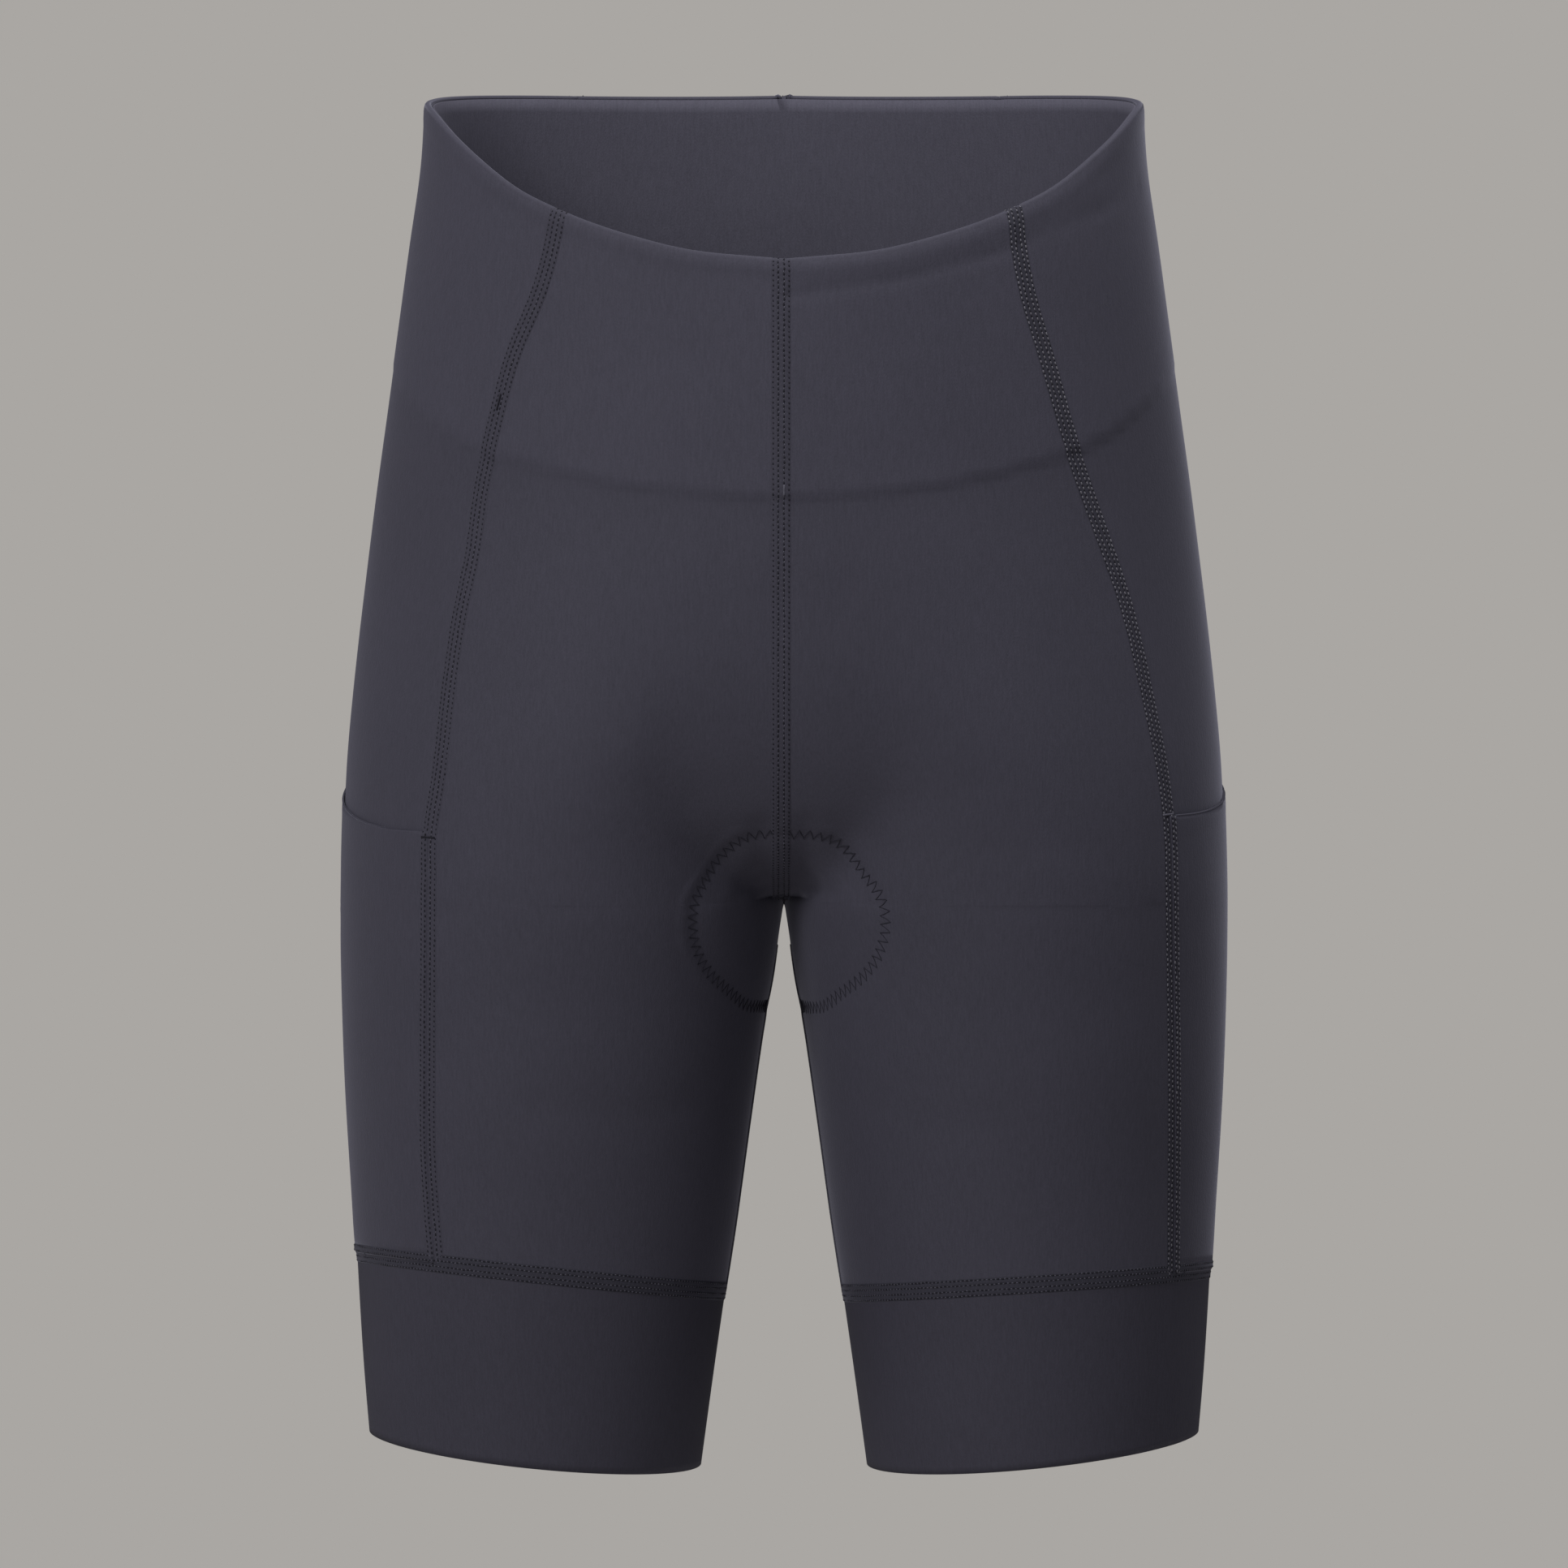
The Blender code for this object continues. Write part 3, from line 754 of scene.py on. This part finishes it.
for node in PANELS:
    thicken(cloth[node], WALL)
for side in SIDES:
    thicken(cloth["leg_band_" + side], BAND_WALL)
print("walls of", WALL / MM, "and", BAND_WALL / MM, "mm")

# %% [markdown]
# ## Pockets
#
# Each side pocket is a patch of the same jersey laid on the side panel. It is sewn into the seams in front,
# behind and below, and free at its curved mouth, where the edge is turned in and makes a narrow welt. So the
# patch lies close to the panel along its seams and stands off a little in the middle and at the mouth.

# %% Pockets on the side panels
POCKET_LOW = 0.7 * MM
POCKET_HIGH = 1.0 * MM
POCKET_RISE = 10 * MM
POCKET_WALL = 0.6 * MM
WELT_DEPTH = 7 * MM
WELT_LIFT = 0.1 * MM
WELT_FADE = 2 * MM
MOUTH_REACH = 3 * MM


def mouth_spots(piece):
    """Point numbers along the pocket's free upper edge: those far from all seam lines."""
    spots = np.unique(open_edges(piece))
    places = points_of(piece)[spots]
    lines = np.concatenate([line[:, :3] for line, _ in seams.values()])
    _, gaps = near(places, lines)
    return spots[gaps > MOUTH_REACH]


side_surface = {side: surface_of([cloth["side_" + side]]) for side in SIDES}
mouth_lines = {}
for side in SIDES:
    pocket = cloth["pocket_" + side]
    places = points_of(pocket)
    mouth = mouth_spots(pocket)
    around = [seams[name + side][0][:, :3] for name in ("front_seam_", "back_seam_", "band_seam_")]
    _, from_seams = near(places, np.concatenate(around))
    found = [side_surface[side].find_nearest(point) for point in places.tolist()]
    ground = np.array([hit[0] for hit in found])
    normals = np.array([hit[1] for hit in found])
    outward = normals_of(pocket)
    normals *= np.where((normals * outward).sum(axis=1) < 0, -1, 1)[:, None]
    rise = POCKET_LOW + (POCKET_HIGH - POCKET_LOW) * smooth_step(from_seams / POCKET_RISE)
    _, from_mouth = near(places, places[mouth])
    rise += WELT_LIFT * (1 - smooth_step((from_mouth - WELT_DEPTH + WELT_FADE) / WELT_FADE))
    move_points(pocket, ground + normals * rise[:, None])
    free = set(mouth.tolist())
    order, _ = walk([pair for pair in open_edges(pocket).tolist() if free.issuperset(pair)], ground[:, 2])
    mouth_lines[side] = np.hstack([points_of(pocket)[order], normals[order]])
    print("pocket", side, "has", len(order), "points along its mouth")
    thicken(pocket, POCKET_WALL)

# %% [markdown]
# ## Saddle pad
#
# The pad is foam between two layers of fleece, pressed flat along its edge, where it is stitched on. The
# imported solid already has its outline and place. Rounding it gives the soft foam shape.

# %% Saddle pad
PAD_LEVELS = 2
pad = copy_of_solid("chamois_pad", "saddle_pad")
bpy.ops.mesh.tris_convert_to_quads(face_threshold=math.pi, shape_threshold=math.pi)
bpy.ops.object.mode_set(mode="OBJECT")
bpy.ops.object.modifier_add(type="SUBSURF")
rounding = pad.modifiers[-1]
rounding.levels = rounding.render_levels = PAD_LEVELS
bpy.ops.object.modifier_apply(modifier=rounding.name)
pad.data.shade_smooth()
move_points(pad, with_narrow_gap(points_of(pad)))
thicken(facing, WALL, outwards=True)
print("pad faces:", len(pad.data.polygons))

# %% [markdown]
# ## Knitted jersey
#
# The cloth is a fine warp knit. Its wales run up and down, so close up it shows short upright streaks with a
# grain of single loops, and its tone drifts a little over a hand's width. One node group makes this pattern
# from the object's own coordinates. Each cloth has its own colour, roughness and sheen around it: the short
# fibres on its surface catch light that grazes the outer edges. The facing's colour is lighter than the outer
# jersey's: painted light inside the waist, where the lamps reach little.

# %% Knitted jersey
STREAK_WIDTH = 0.8 * MM
STREAK_LENGTH = 6.0 * MM
GRAIN = 0.45 * MM
DRIFT = 60 * MM
LAYERS = (
    # name, size of the pattern across and along in metres, its detail, its share in tone and in height
    ("streaks", STREAK_WIDTH, STREAK_LENGTH, 2.0, 0.34, 0.6),
    ("grain", GRAIN, 2 * GRAIN, 1.0, 0.30, 0.8),
    ("drift", DRIFT, DRIFT, 1.0, 0.16, 0.0),
)


def linked(tree, kind, label, **sockets):
    """A new node with its inputs set to values or linked to other nodes' outputs."""
    node = tree.nodes.new(kind)
    node.label = label
    for name, value in sockets.items():
        socket = node.inputs[int(name[1:])] if name[1:].isdigit() else node.inputs[name.replace("_", " ")]
        if isinstance(value, bpy.types.NodeSocket):
            tree.links.new(value, socket)
        else:
            socket.default_value = value
    return node


def maths(tree, operation, label, first, second):
    node = linked(tree, "ShaderNodeMath", label, _0=first, _1=second)
    node.operation = operation
    return node.outputs[0]


def knit_group():
    """The knit's pattern: a tone round 1 and a height."""
    group = bpy.data.node_groups.new("knit_pattern", "ShaderNodeTree")
    group.interface.new_socket("Tone", in_out="OUTPUT", socket_type="NodeSocketFloat")
    group.interface.new_socket("Height", in_out="OUTPUT", socket_type="NodeSocketFloat")
    place = group.nodes.new("ShaderNodeTexCoord").outputs["Object"]
    tone, height = 1.0, 0.0
    for name, across, along, detail, tone_share, height_share in LAYERS:
        scale = (1 / across, 1 / across, 1 / along)
        spread = linked(group, "ShaderNodeMapping", name + " size", Vector=place, Scale=scale)
        noise = linked(group, "ShaderNodeTexNoise", name, Vector=spread.outputs[0], Scale=1.0, Detail=detail)
        around = maths(group, "SUBTRACT", name + " round 0", noise.outputs["Fac"], 0.5)
        lighter = maths(group, "MULTIPLY", "share", around, tone_share)
        tone = maths(group, "ADD", "add " + name, tone, lighter)
        higher = maths(group, "MULTIPLY", "share", around, height_share)
        height = maths(group, "ADD", "add " + name, height, higher)
    ends = group.nodes.new("NodeGroupOutput")
    group.links.new(tone, ends.inputs["Tone"])
    group.links.new(height, ends.inputs["Height"])
    return group


SHEEN_ROUGHNESS = 0.35
SHEEN_TINT = (0.82, 0.82, 1.0, 1.0)
CLOTH_SPECULAR = 0.25


def cloth_material(name, colour, roughness, sheen, relief_height):
    """Jersey of one colour with the knit's tone and height."""
    fibres = {"Sheen_Weight": sheen, "Sheen_Roughness": SHEEN_ROUGHNESS, "Sheen_Tint": SHEEN_TINT}
    material = plain_material(name, colour, roughness, Specular_IOR_Level=CLOTH_SPECULAR, **fibres)
    tree = material.node_tree
    shader = tree.nodes["Principled BSDF"]
    pattern = tree.nodes.new("ShaderNodeGroup")
    pattern.node_tree = knit
    tint = linked(tree, "ShaderNodeVectorMath", "colour times tone", _0=colour, _1=pattern.outputs["Tone"])
    tint.operation = "MULTIPLY"
    bump = linked(tree, "ShaderNodeBump", "loops", Height=pattern.outputs["Height"], Distance=relief_height)
    tree.links.new(tint.outputs[0], shader.inputs["Base Color"])
    tree.links.new(bump.outputs[0], shader.inputs["Normal"])
    return material


CLOTHS = (
    # name, colour, roughness, sheen, height of the loops in metres
    ("slate_jersey", (0.045, 0.043, 0.060), 0.80, 0.26, 0.00010),
    ("band_jersey", (0.039, 0.037, 0.052), 0.78, 0.00, 0.00007),
    # Lighter than the outer jersey: painted light for the inside of the waist, where the lamps reach little.
    ("facing_jersey", (0.070, 0.067, 0.090), 0.85, 0.10, 0.00010),
    ("seam_jersey", (0.042, 0.040, 0.056), 0.80, 0.15, 0.00008),
    ("shaded_seam", (0.030, 0.029, 0.041), 0.80, 0.15, 0.00008),
    ("zigzag_thread", (0.019, 0.018, 0.027), 0.75, 0.05, 0.00003),
    ("dull_thread", (0.085, 0.082, 0.105), 0.75, 0.10, 0.00003),
    # Near black: the thread's own colour together with painted shade of the needle holes it goes through.
    ("thread_and_hole_shade", (0.008, 0.0075, 0.013), 0.75, 0.00, 0.00003),
    ("pale_thread", (0.14, 0.135, 0.155), 0.55, 0.20, 0.00003),
    ("pad_fleece", (0.022, 0.021, 0.027), 0.95, 0.45, 0.00040),
)
DOUBLED_TONE = 0.10
knit = knit_group()
finish = {row[0]: cloth_material(*row) for row in CLOTHS}

# Where the waist is doubled, less light gets through the jersey, so it looks a little lighter.
slate = finish["slate_jersey"].node_tree
doubled = slate.nodes.new("ShaderNodeAttribute")
doubled.attribute_name = "doubled"
gain = maths(slate, "MULTIPLY_ADD", "lighter where doubled", doubled.outputs["Fac"], DOUBLED_TONE)
gain.node.inputs[2].default_value = 1.0
shader = slate.nodes["Principled BSDF"]
single = shader.inputs["Base Color"].links[0].from_socket
lighter = linked(slate, "ShaderNodeVectorMath", "tone of doubled cloth", _0=single, _1=gain)
lighter.operation = "MULTIPLY"
slate.links.new(lighter.outputs[0], shader.inputs["Base Color"])
print("cloth materials:", list(finish))


def dress(piece, *names):
    piece.data.materials.clear()
    for name in names:
        piece.data.materials.append(finish[name])


# The waist facing gets the lighter facing jersey, whose colour is painted light inside the waist.
for node, piece in cloth.items():
    kind = "band" if node.startswith("leg_band") else "facing" if node == "waist_facing" else "slate"
    dress(piece, kind + "_jersey")
dress(pad, "pad_fleece")

# %% [markdown]
# ## Flatlock seams
#
# A flatlock machine lays the two edges over each other and covers them with four rows of thread. Outside, the
# seam is a flat band about 7 mm wide that stands almost half a millimetre proud, with four rows of short
# stitches and, where the thread is slack, paler loops between them. The short stitches are near black: their
# thread, and painted shade of the needle holes it goes through. The band is a swept ring of points, laid
# on the cloth along the seam's line, and the stitches are small drawn-out spheres, placed along its rows.

# %% Laying things on the cloth
REACH_OUT = 2.5 * MM
WELD = 0.001 * MM
cover = surface_of([cloth[node] for node in SHEETS])


def laid_on(tree, points, outward):
    """The places on a surface that lie straight under or over points near it."""
    found = []
    for start, way in zip((points + outward * REACH_OUT).tolist(), (-outward).tolist()):
        hit = tree.ray_cast(start, way, 2 * REACH_OUT)[0]
        found.append(hit or tree.find_nearest(start)[0])
    return np.array(found)


def along_of(line, closed):
    """Directions along a line of points."""
    if closed:
        ahead = np.roll(line, -1, axis=0) - np.roll(line, 1, axis=0)
    else:
        ahead = np.gradient(line, axis=0)
    return unit(ahead)


def frame_of(table, closed):
    """Places, directions along, directions across and directions outwards of a seam line."""
    places = table[:, :3]
    outward = unit(table[:, 3:])
    along = along_of(places, closed)
    return places, along, unit(np.cross(outward, along)), outward


def swept(name, rings, closed):
    """A closed tube through rings of points. An open one gets its two ends filled."""
    if closed:
        rings = np.concatenate([rings, rings[:1]])
    count, around = rings.shape[:2]
    bpy.ops.mesh.primitive_grid_add(x_subdivisions=count - 1, y_subdivisions=around, size=2)
    piece = bpy.context.object
    piece.name = piece.data.name = name
    spots = points_of(piece)
    step = np.round((spots[:, 0] + 1) / 2 * (count - 1)).astype(int)
    turn = np.round((spots[:, 1] + 1) / 2 * around).astype(int) % around
    move_points(piece, rings[step, turn])
    bpy.ops.object.mode_set(mode="EDIT")
    bpy.ops.mesh.select_all(action="SELECT")
    bpy.ops.mesh.remove_doubles(threshold=WELD)
    bpy.ops.mesh.fill_holes(sides=0)
    bpy.ops.mesh.normals_make_consistent(inside=False)
    bpy.ops.object.mode_set(mode="OBJECT")
    piece.data.shade_smooth()
    return piece


print("cloth to lay on:", SHEETS)

# %% Bands of the flatlock seams
PITCH = 1.95 * MM
SHORT_PITCH = 1.75 * MM
RINGS_PER_STITCH = 3
PROFILE = (
    # across from the middle and height above the cloth, in mm
    (-3.8, -0.12), (-3.5, 0.14), (-2.95, 0.20), (-2.2, 0.36), (-1.5, 0.34), (-1.1, 0.32),
    (0.0, 0.46), (1.1, 0.32), (1.5, 0.34), (2.2, 0.36), (2.95, 0.20), (3.5, 0.14), (3.8, -0.12),
    (3.5, -0.55), (-3.5, -0.55),
)
ROWS = (-2.95, -1.1, 1.1, 2.95)
DIMPLE = 0.16 * MM
OVER_THE_RIM = 7
PRESSED = 0.25
PRESSED_DEPTH = 8 * MM
CROTCH_SIZE = 30 * MM


def over_rim(table):
    """A seam line that starts at the rim, carried over the fold to its inner side."""
    foot = table[0, :3].copy()
    foot[2] -= FOLD_RADIUS
    flat = table[0, 3:] * (1, 1, 0)
    flat /= np.linalg.norm(flat)
    turns = np.linspace(math.pi, 0, OVER_THE_RIM)[:, None]
    up = np.array([0, 0, 1.0])
    outward = flat * np.cos(turns) + up * np.sin(turns)
    fold = np.hstack([foot - flat * FOLD_RADIUS + outward * FOLD_RADIUS, outward])
    return np.vstack([fold, table[np.cumsum(table[:, 2] > foot[2] - SEAM_STEP / 2).argmax() + 1:]])


def seam_band(name, table, closed, shift):
    """The raised band of a flatlock seam."""
    places, along, across, outward = frame_of(resample(table, PITCH / RINGS_PER_STITCH, closed), closed)
    rings = np.empty((len(places), len(PROFILE), 3))
    below_rim = edge_height(upper, places) - places[:, 2]
    from_crotch = np.linalg.norm(places - CROTCH, axis=1)
    free = smooth_step(np.minimum(below_rim / PRESSED_DEPTH, from_crotch / CROTCH_SIZE))
    pressed = PRESSED + (1 - PRESSED) * free
    for spot, (aside, height) in enumerate(PROFILE):
        ground = laid_on(cover, places + across * (aside * MM + shift), outward)
        lift = height * MM * pressed
        if height > 0:
            lift[::RINGS_PER_STITCH] -= DIMPLE * (aside in ROWS)
        rings[:, spot] = ground + outward * lift[:, None]
    return swept(name, rings, closed)


# %% Stitches
BEAD_SIDES = 6
BEAD_RINGS = 3
bpy.ops.mesh.primitive_uv_sphere_add(segments=BEAD_SIDES, ring_count=BEAD_RINGS, radius=0.5)
bead = bpy.context.object
bead_points = points_of(bead)[:, [2, 0, 1]]
bead_faces = [list(face.vertices) for face in bead.data.polygons]
bpy.data.objects.remove(bead)


def stitches(name, places, along, outward, sizes):
    """Many drawn-out spheres in one mesh, each with its length, width and height."""
    across = np.cross(outward, along)
    shape = bead_points[None] * np.broadcast_to(sizes, (len(places), 3))[:, None]
    spread = shape[..., :1] * along[:, None] + shape[..., 1:2] * across[:, None]
    spread += shape[..., 2:] * outward[:, None]
    points = (places[:, None] + spread).reshape(-1, 3)
    firsts = range(0, len(points), len(bead_points))
    faces = [[spot + first for spot in face] for first in firsts for face in bead_faces]
    mesh = bpy.data.meshes.new(name)
    mesh.from_pydata(points.tolist(), [], faces)
    piece = bpy.data.objects.new(name, mesh)
    bpy.context.scene.collection.objects.link(piece)
    mesh.shade_smooth()
    return piece


chance = np.random.default_rng(7)
ROW_PHASES = 8
ROW_SKIP = 3
GROWTH = (0.85, 1.15)
LOOKS = {
    # eighths of a pitch ahead, size in mm, height above the band in mm, sideways scatter in mm
    # The near-black stitches also paint the shade of their needle holes.
    "thread_and_hole_shade": (0, (1.15, 0.85, 0.30), 0.03, 0.07),
    "zigzag_thread": (0, (1.05, 0.80, 0.28), 0.03, 0.07),
    "pale_thread": (4, (1.20, 0.62, 0.38), 0.06, 0.14),
    "dull_thread": (4, (0.75, 0.45, 0.36), 0.08, 0.10),
}


def seam_stitches(name, band, table, closed, shift, rows, look, pitch):
    """Rows of stitches of one look on a seam's band."""
    ahead, size, lift, jitter = LOOKS[look]
    ground_tree = surface_of([band])
    parts = []
    for row in rows:
        first = (ROWS.index(row) * ROW_SKIP + ahead) % ROW_PHASES
        fine = resample(table, pitch / ROW_PHASES, closed)[first:: ROW_PHASES]
        places, along, across, outward = frame_of(fine, closed)
        count = len(places)
        aside = row * MM + shift + chance.normal(0, jitter, count) * MM
        ground = laid_on(ground_tree, places + across * aside[:, None], outward)
        grow = chance.uniform(*GROWTH, (count, 1))
        parts.append((ground + outward * lift * MM, along, outward, np.array(size) * MM * grow))
    piece = stitches(name + "_" + look, *(np.concatenate(values) for values in zip(*parts)))
    dress(piece, look)
    return piece


SEAM_LOOKS = (
    # seam, sideways shift in mm, whether it goes over the rim, material of the band, stitch pitch,
    # material of the dark stitches, rows of light loops, their material
    ("center_front_seam", -1.1, True, "seam_jersey", PITCH, "thread_and_hole_shade", ROWS[1:3], "dull_thread"),
    ("front_seam_left", 0.0, True, "shaded_seam", PITCH, "thread_and_hole_shade", ROWS, "pale_thread"),
    ("front_seam_right", 0.0, True, "seam_jersey", PITCH, "thread_and_hole_shade", ROWS[2:3], "dull_thread"),
    ("center_back_seam", 0.0, False, "seam_jersey", PITCH, "thread_and_hole_shade", (), "dull_thread"),
    ("back_seam_left", 0.0, False, "seam_jersey", PITCH, "thread_and_hole_shade", (), "dull_thread"),
    ("back_seam_right", 0.0, False, "seam_jersey", PITCH, "thread_and_hole_shade", (), "dull_thread"),
    ("inseam_left", 0.0, False, "seam_jersey", PITCH, "zigzag_thread", (), "dull_thread"),
    ("inseam_right", 0.0, False, "seam_jersey", PITCH, "zigzag_thread", (), "dull_thread"),
    ("band_seam_left", 0.0, False, "shaded_seam", SHORT_PITCH, "thread_and_hole_shade", ROWS, "dull_thread"),
    ("band_seam_right", 0.0, False, "shaded_seam", SHORT_PITCH, "thread_and_hole_shade", ROWS, "dull_thread"),
)
sewing = {}
for name, shift, at_rim, look, pitch, thread_and_hole_shade, light_rows, light_thread in SEAM_LOOKS:
    table, closed = seams[name]
    if at_rim:
        table = over_rim(table)
    parts = [seam_band(name, table, closed, shift * MM)]
    dress(parts[0], look)
    for rows, thread in ((ROWS, thread_and_hole_shade), (light_rows, light_thread)):
        if rows:
            parts.append(seam_stitches(name, parts[0], table, closed, shift * MM, rows, thread, pitch))
    pick(*parts)
    bpy.ops.object.join()
    sewing[name] = parts[0]
    print(name, "faces:", len(parts[0].data.polygons))

# %% [markdown]
# ## Pocket mouths
#
# The free edge of each pocket is turned in over an elastic thread. That makes a thin round rim, which catches
# the light and throws a small shadow on the side panel.

# %% Rims of the pocket mouths
WELT_RADIUS = 0.42 * MM
WELT_SIDES = 8


def tube(name, path, outward, radius, sides, closed):
    """A round thread or rim along a path."""
    along = along_of(path, closed)
    across = unit(np.cross(outward, along))
    upward = np.cross(along, across)
    turns = np.arange(sides) * 2 * math.pi / sides
    ring = across[:, None] * np.cos(turns)[None, :, None] + upward[:, None] * np.sin(turns)[None, :, None]
    return swept(name, path[:, None] + ring * radius, closed)


welts = []
for side in SIDES:
    line = resample(mouth_lines[side], SEAM_STEP, False)
    path, _, _, outward = frame_of(line, False)
    path = path - outward * POCKET_WALL / 2
    welt = tube("pocket_welt_" + side, path, outward, WELT_RADIUS, WELT_SIDES, False)
    dress(welt, "slate_jersey")
    welts.append(welt)
print("mouth rims:", [piece.name for piece in welts])

# %% [markdown]
# ## Bar tacks
#
# A few short rows of close stitches hold the seams where they are pulled, such as at the pocket mouths.

# %% Bar tacks
TACK_STEP = 0.5
TACK_RADIUS = 0.4 * MM
TACK_SIDES = 6
TACKS = (
    # seam, height and length in mm, way it runs, material
    # Tacks in the near-black thread also carry its painted shade of needle holes.
    ("front_seam_right", -122.3, 7.0, "along", "thread_and_hole_shade"),
    ("front_seam_right", -290.0, 6.5, "across", "thread_and_hole_shade"),
    ("front_seam_left", -281.0, 6.5, "across", "dull_thread"),
    ("center_front_seam", -158.0, 4.5, "along", "dull_thread"),
)
tacks = []
for name, height, length, way, look in TACKS:
    places, along, across, outward = frame_of(resample(seams[name][0], SEAM_STEP, False), False)
    spot = np.abs(places[:, 2] - height * MM).argmin()
    stops = np.arange(-length / 2, length / 2, TACK_STEP)[:, None] * MM
    upward = np.repeat(outward[spot : spot + 1], len(stops), axis=0)
    course = places[spot] + stops * (along if way == "along" else across)[spot]
    course = laid_on(surface_of([sewing[name]]), course, upward)
    tacks.append(tube("bar_tacks", course, upward, TACK_RADIUS, TACK_SIDES, False))
    dress(tacks[-1], look)
pick(*tacks)
bpy.ops.object.join()
print("bar tacks:", len(tacks))

# %% [markdown]
# ## Zigzag of the pad
#
# The pad is sewn to the cloth with one row of zigzag along its edge. Outside it is a dark thread that goes
# from side to side, pulled a little into the cloth.

# %% Zigzag of the pad
ZIGZAG_PITCH = 3.8 * MM
ZIGZAG_WIDTH = 4.8 * MM
SLOW_LEG = 0.6
LEG_POINTS = 5
THREAD = 0.17 * MM
THREAD_SIDES = 6
THREAD_SINK = 0.6
SCATTER = 0.04


def zigzag(line):
    """A zigzag path on the cloth along a ring of points: places and directions outwards."""
    length = len(line) * LINE_STEP
    legs = 2 * round(length / ZIGZAG_PITCH)
    path = resample(line, length / (legs * LEG_POINTS), True)
    outward = np.array([cover.find_nearest(point)[1] for point in path.tolist()])
    away = path - (0, 0, INSIDE_HEIGHT)
    outward *= np.sign((outward * (away * (0.0, 1, 1))).sum(axis=1))[:, None]
    across = unit(np.cross(outward, along_of(path, True)))
    place = np.arange(len(path)) / LEG_POINTS
    turn = place / 2 % 1
    swing = 2 * np.where(turn < SLOW_LEG, turn / SLOW_LEG, (1 - turn) / (1 - SLOW_LEG)) - 1
    swing += chance.normal(0, SCATTER, len(path))
    path = laid_on(cover, path + across * (swing * ZIGZAG_WIDTH / 2)[:, None], outward)
    return path + outward * THREAD * THREAD_SINK, outward


path, outward_path = zigzag(pad_line)
pad_stitching = tube("pad_zigzag", path, outward_path, THREAD, THREAD_SIDES, True)
dress(pad_stitching, "zigzag_thread")
print("zigzag faces:", len(pad_stitching.data.polygons))

# %% [markdown]
# ## What each piece replaces
#
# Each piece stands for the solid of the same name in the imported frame, and moves with it. The flat sizes are
# those of the whole cut cloth, which is stretched a little when worn.

# %% What each piece replaces
CUTS = (
    # piece, width and length of the cut in metres, its area in square metres, material slot, what it rests on
    ("front_left", 0.170, 0.470, 0.0579, "slate_jersey", ("chamois_pad",)),
    ("front_right", 0.160, 0.470, 0.0534, "slate_jersey", ("chamois_pad",)),
    ("side_left", 0.180, 0.470, 0.0680, "slate_jersey", ("front_left", "back_left")),
    ("side_right", 0.200, 0.460, 0.0759, "slate_jersey", ("front_right", "back_right")),
    ("back_left", 0.200, 0.510, 0.0674, "slate_jersey", ("chamois_pad",)),
    ("back_right", 0.190, 0.510, 0.0624, "slate_jersey", ("chamois_pad",)),
    ("pocket_left", 0.145, 0.215, 0.0247, "slate_jersey", ("side_left",)),
    ("pocket_right", 0.175, 0.215, 0.0305, "slate_jersey", ("side_right",)),
    ("leg_band_left", 0.430, 0.078, 0.0271, "band_jersey", ("front_left", "side_left", "back_left")),
    ("leg_band_right", 0.440, 0.084, 0.0287, "band_jersey", ("front_right", "side_right", "back_right")),
    ("waist_facing", 0.600, 0.170, 0.0710, "facing_jersey", ("front_left", "back_left", "back_right")),
)
for node, width, length, area, slot, grounds in CUTS:
    piece = cloth[node]
    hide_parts(node)
    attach(piece, "root")
for piece in list(sewing.values()) + welts + [tacks[0], pad_stitching]:
    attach(piece, "root")
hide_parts("chamois_pad")
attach(pad, "root")
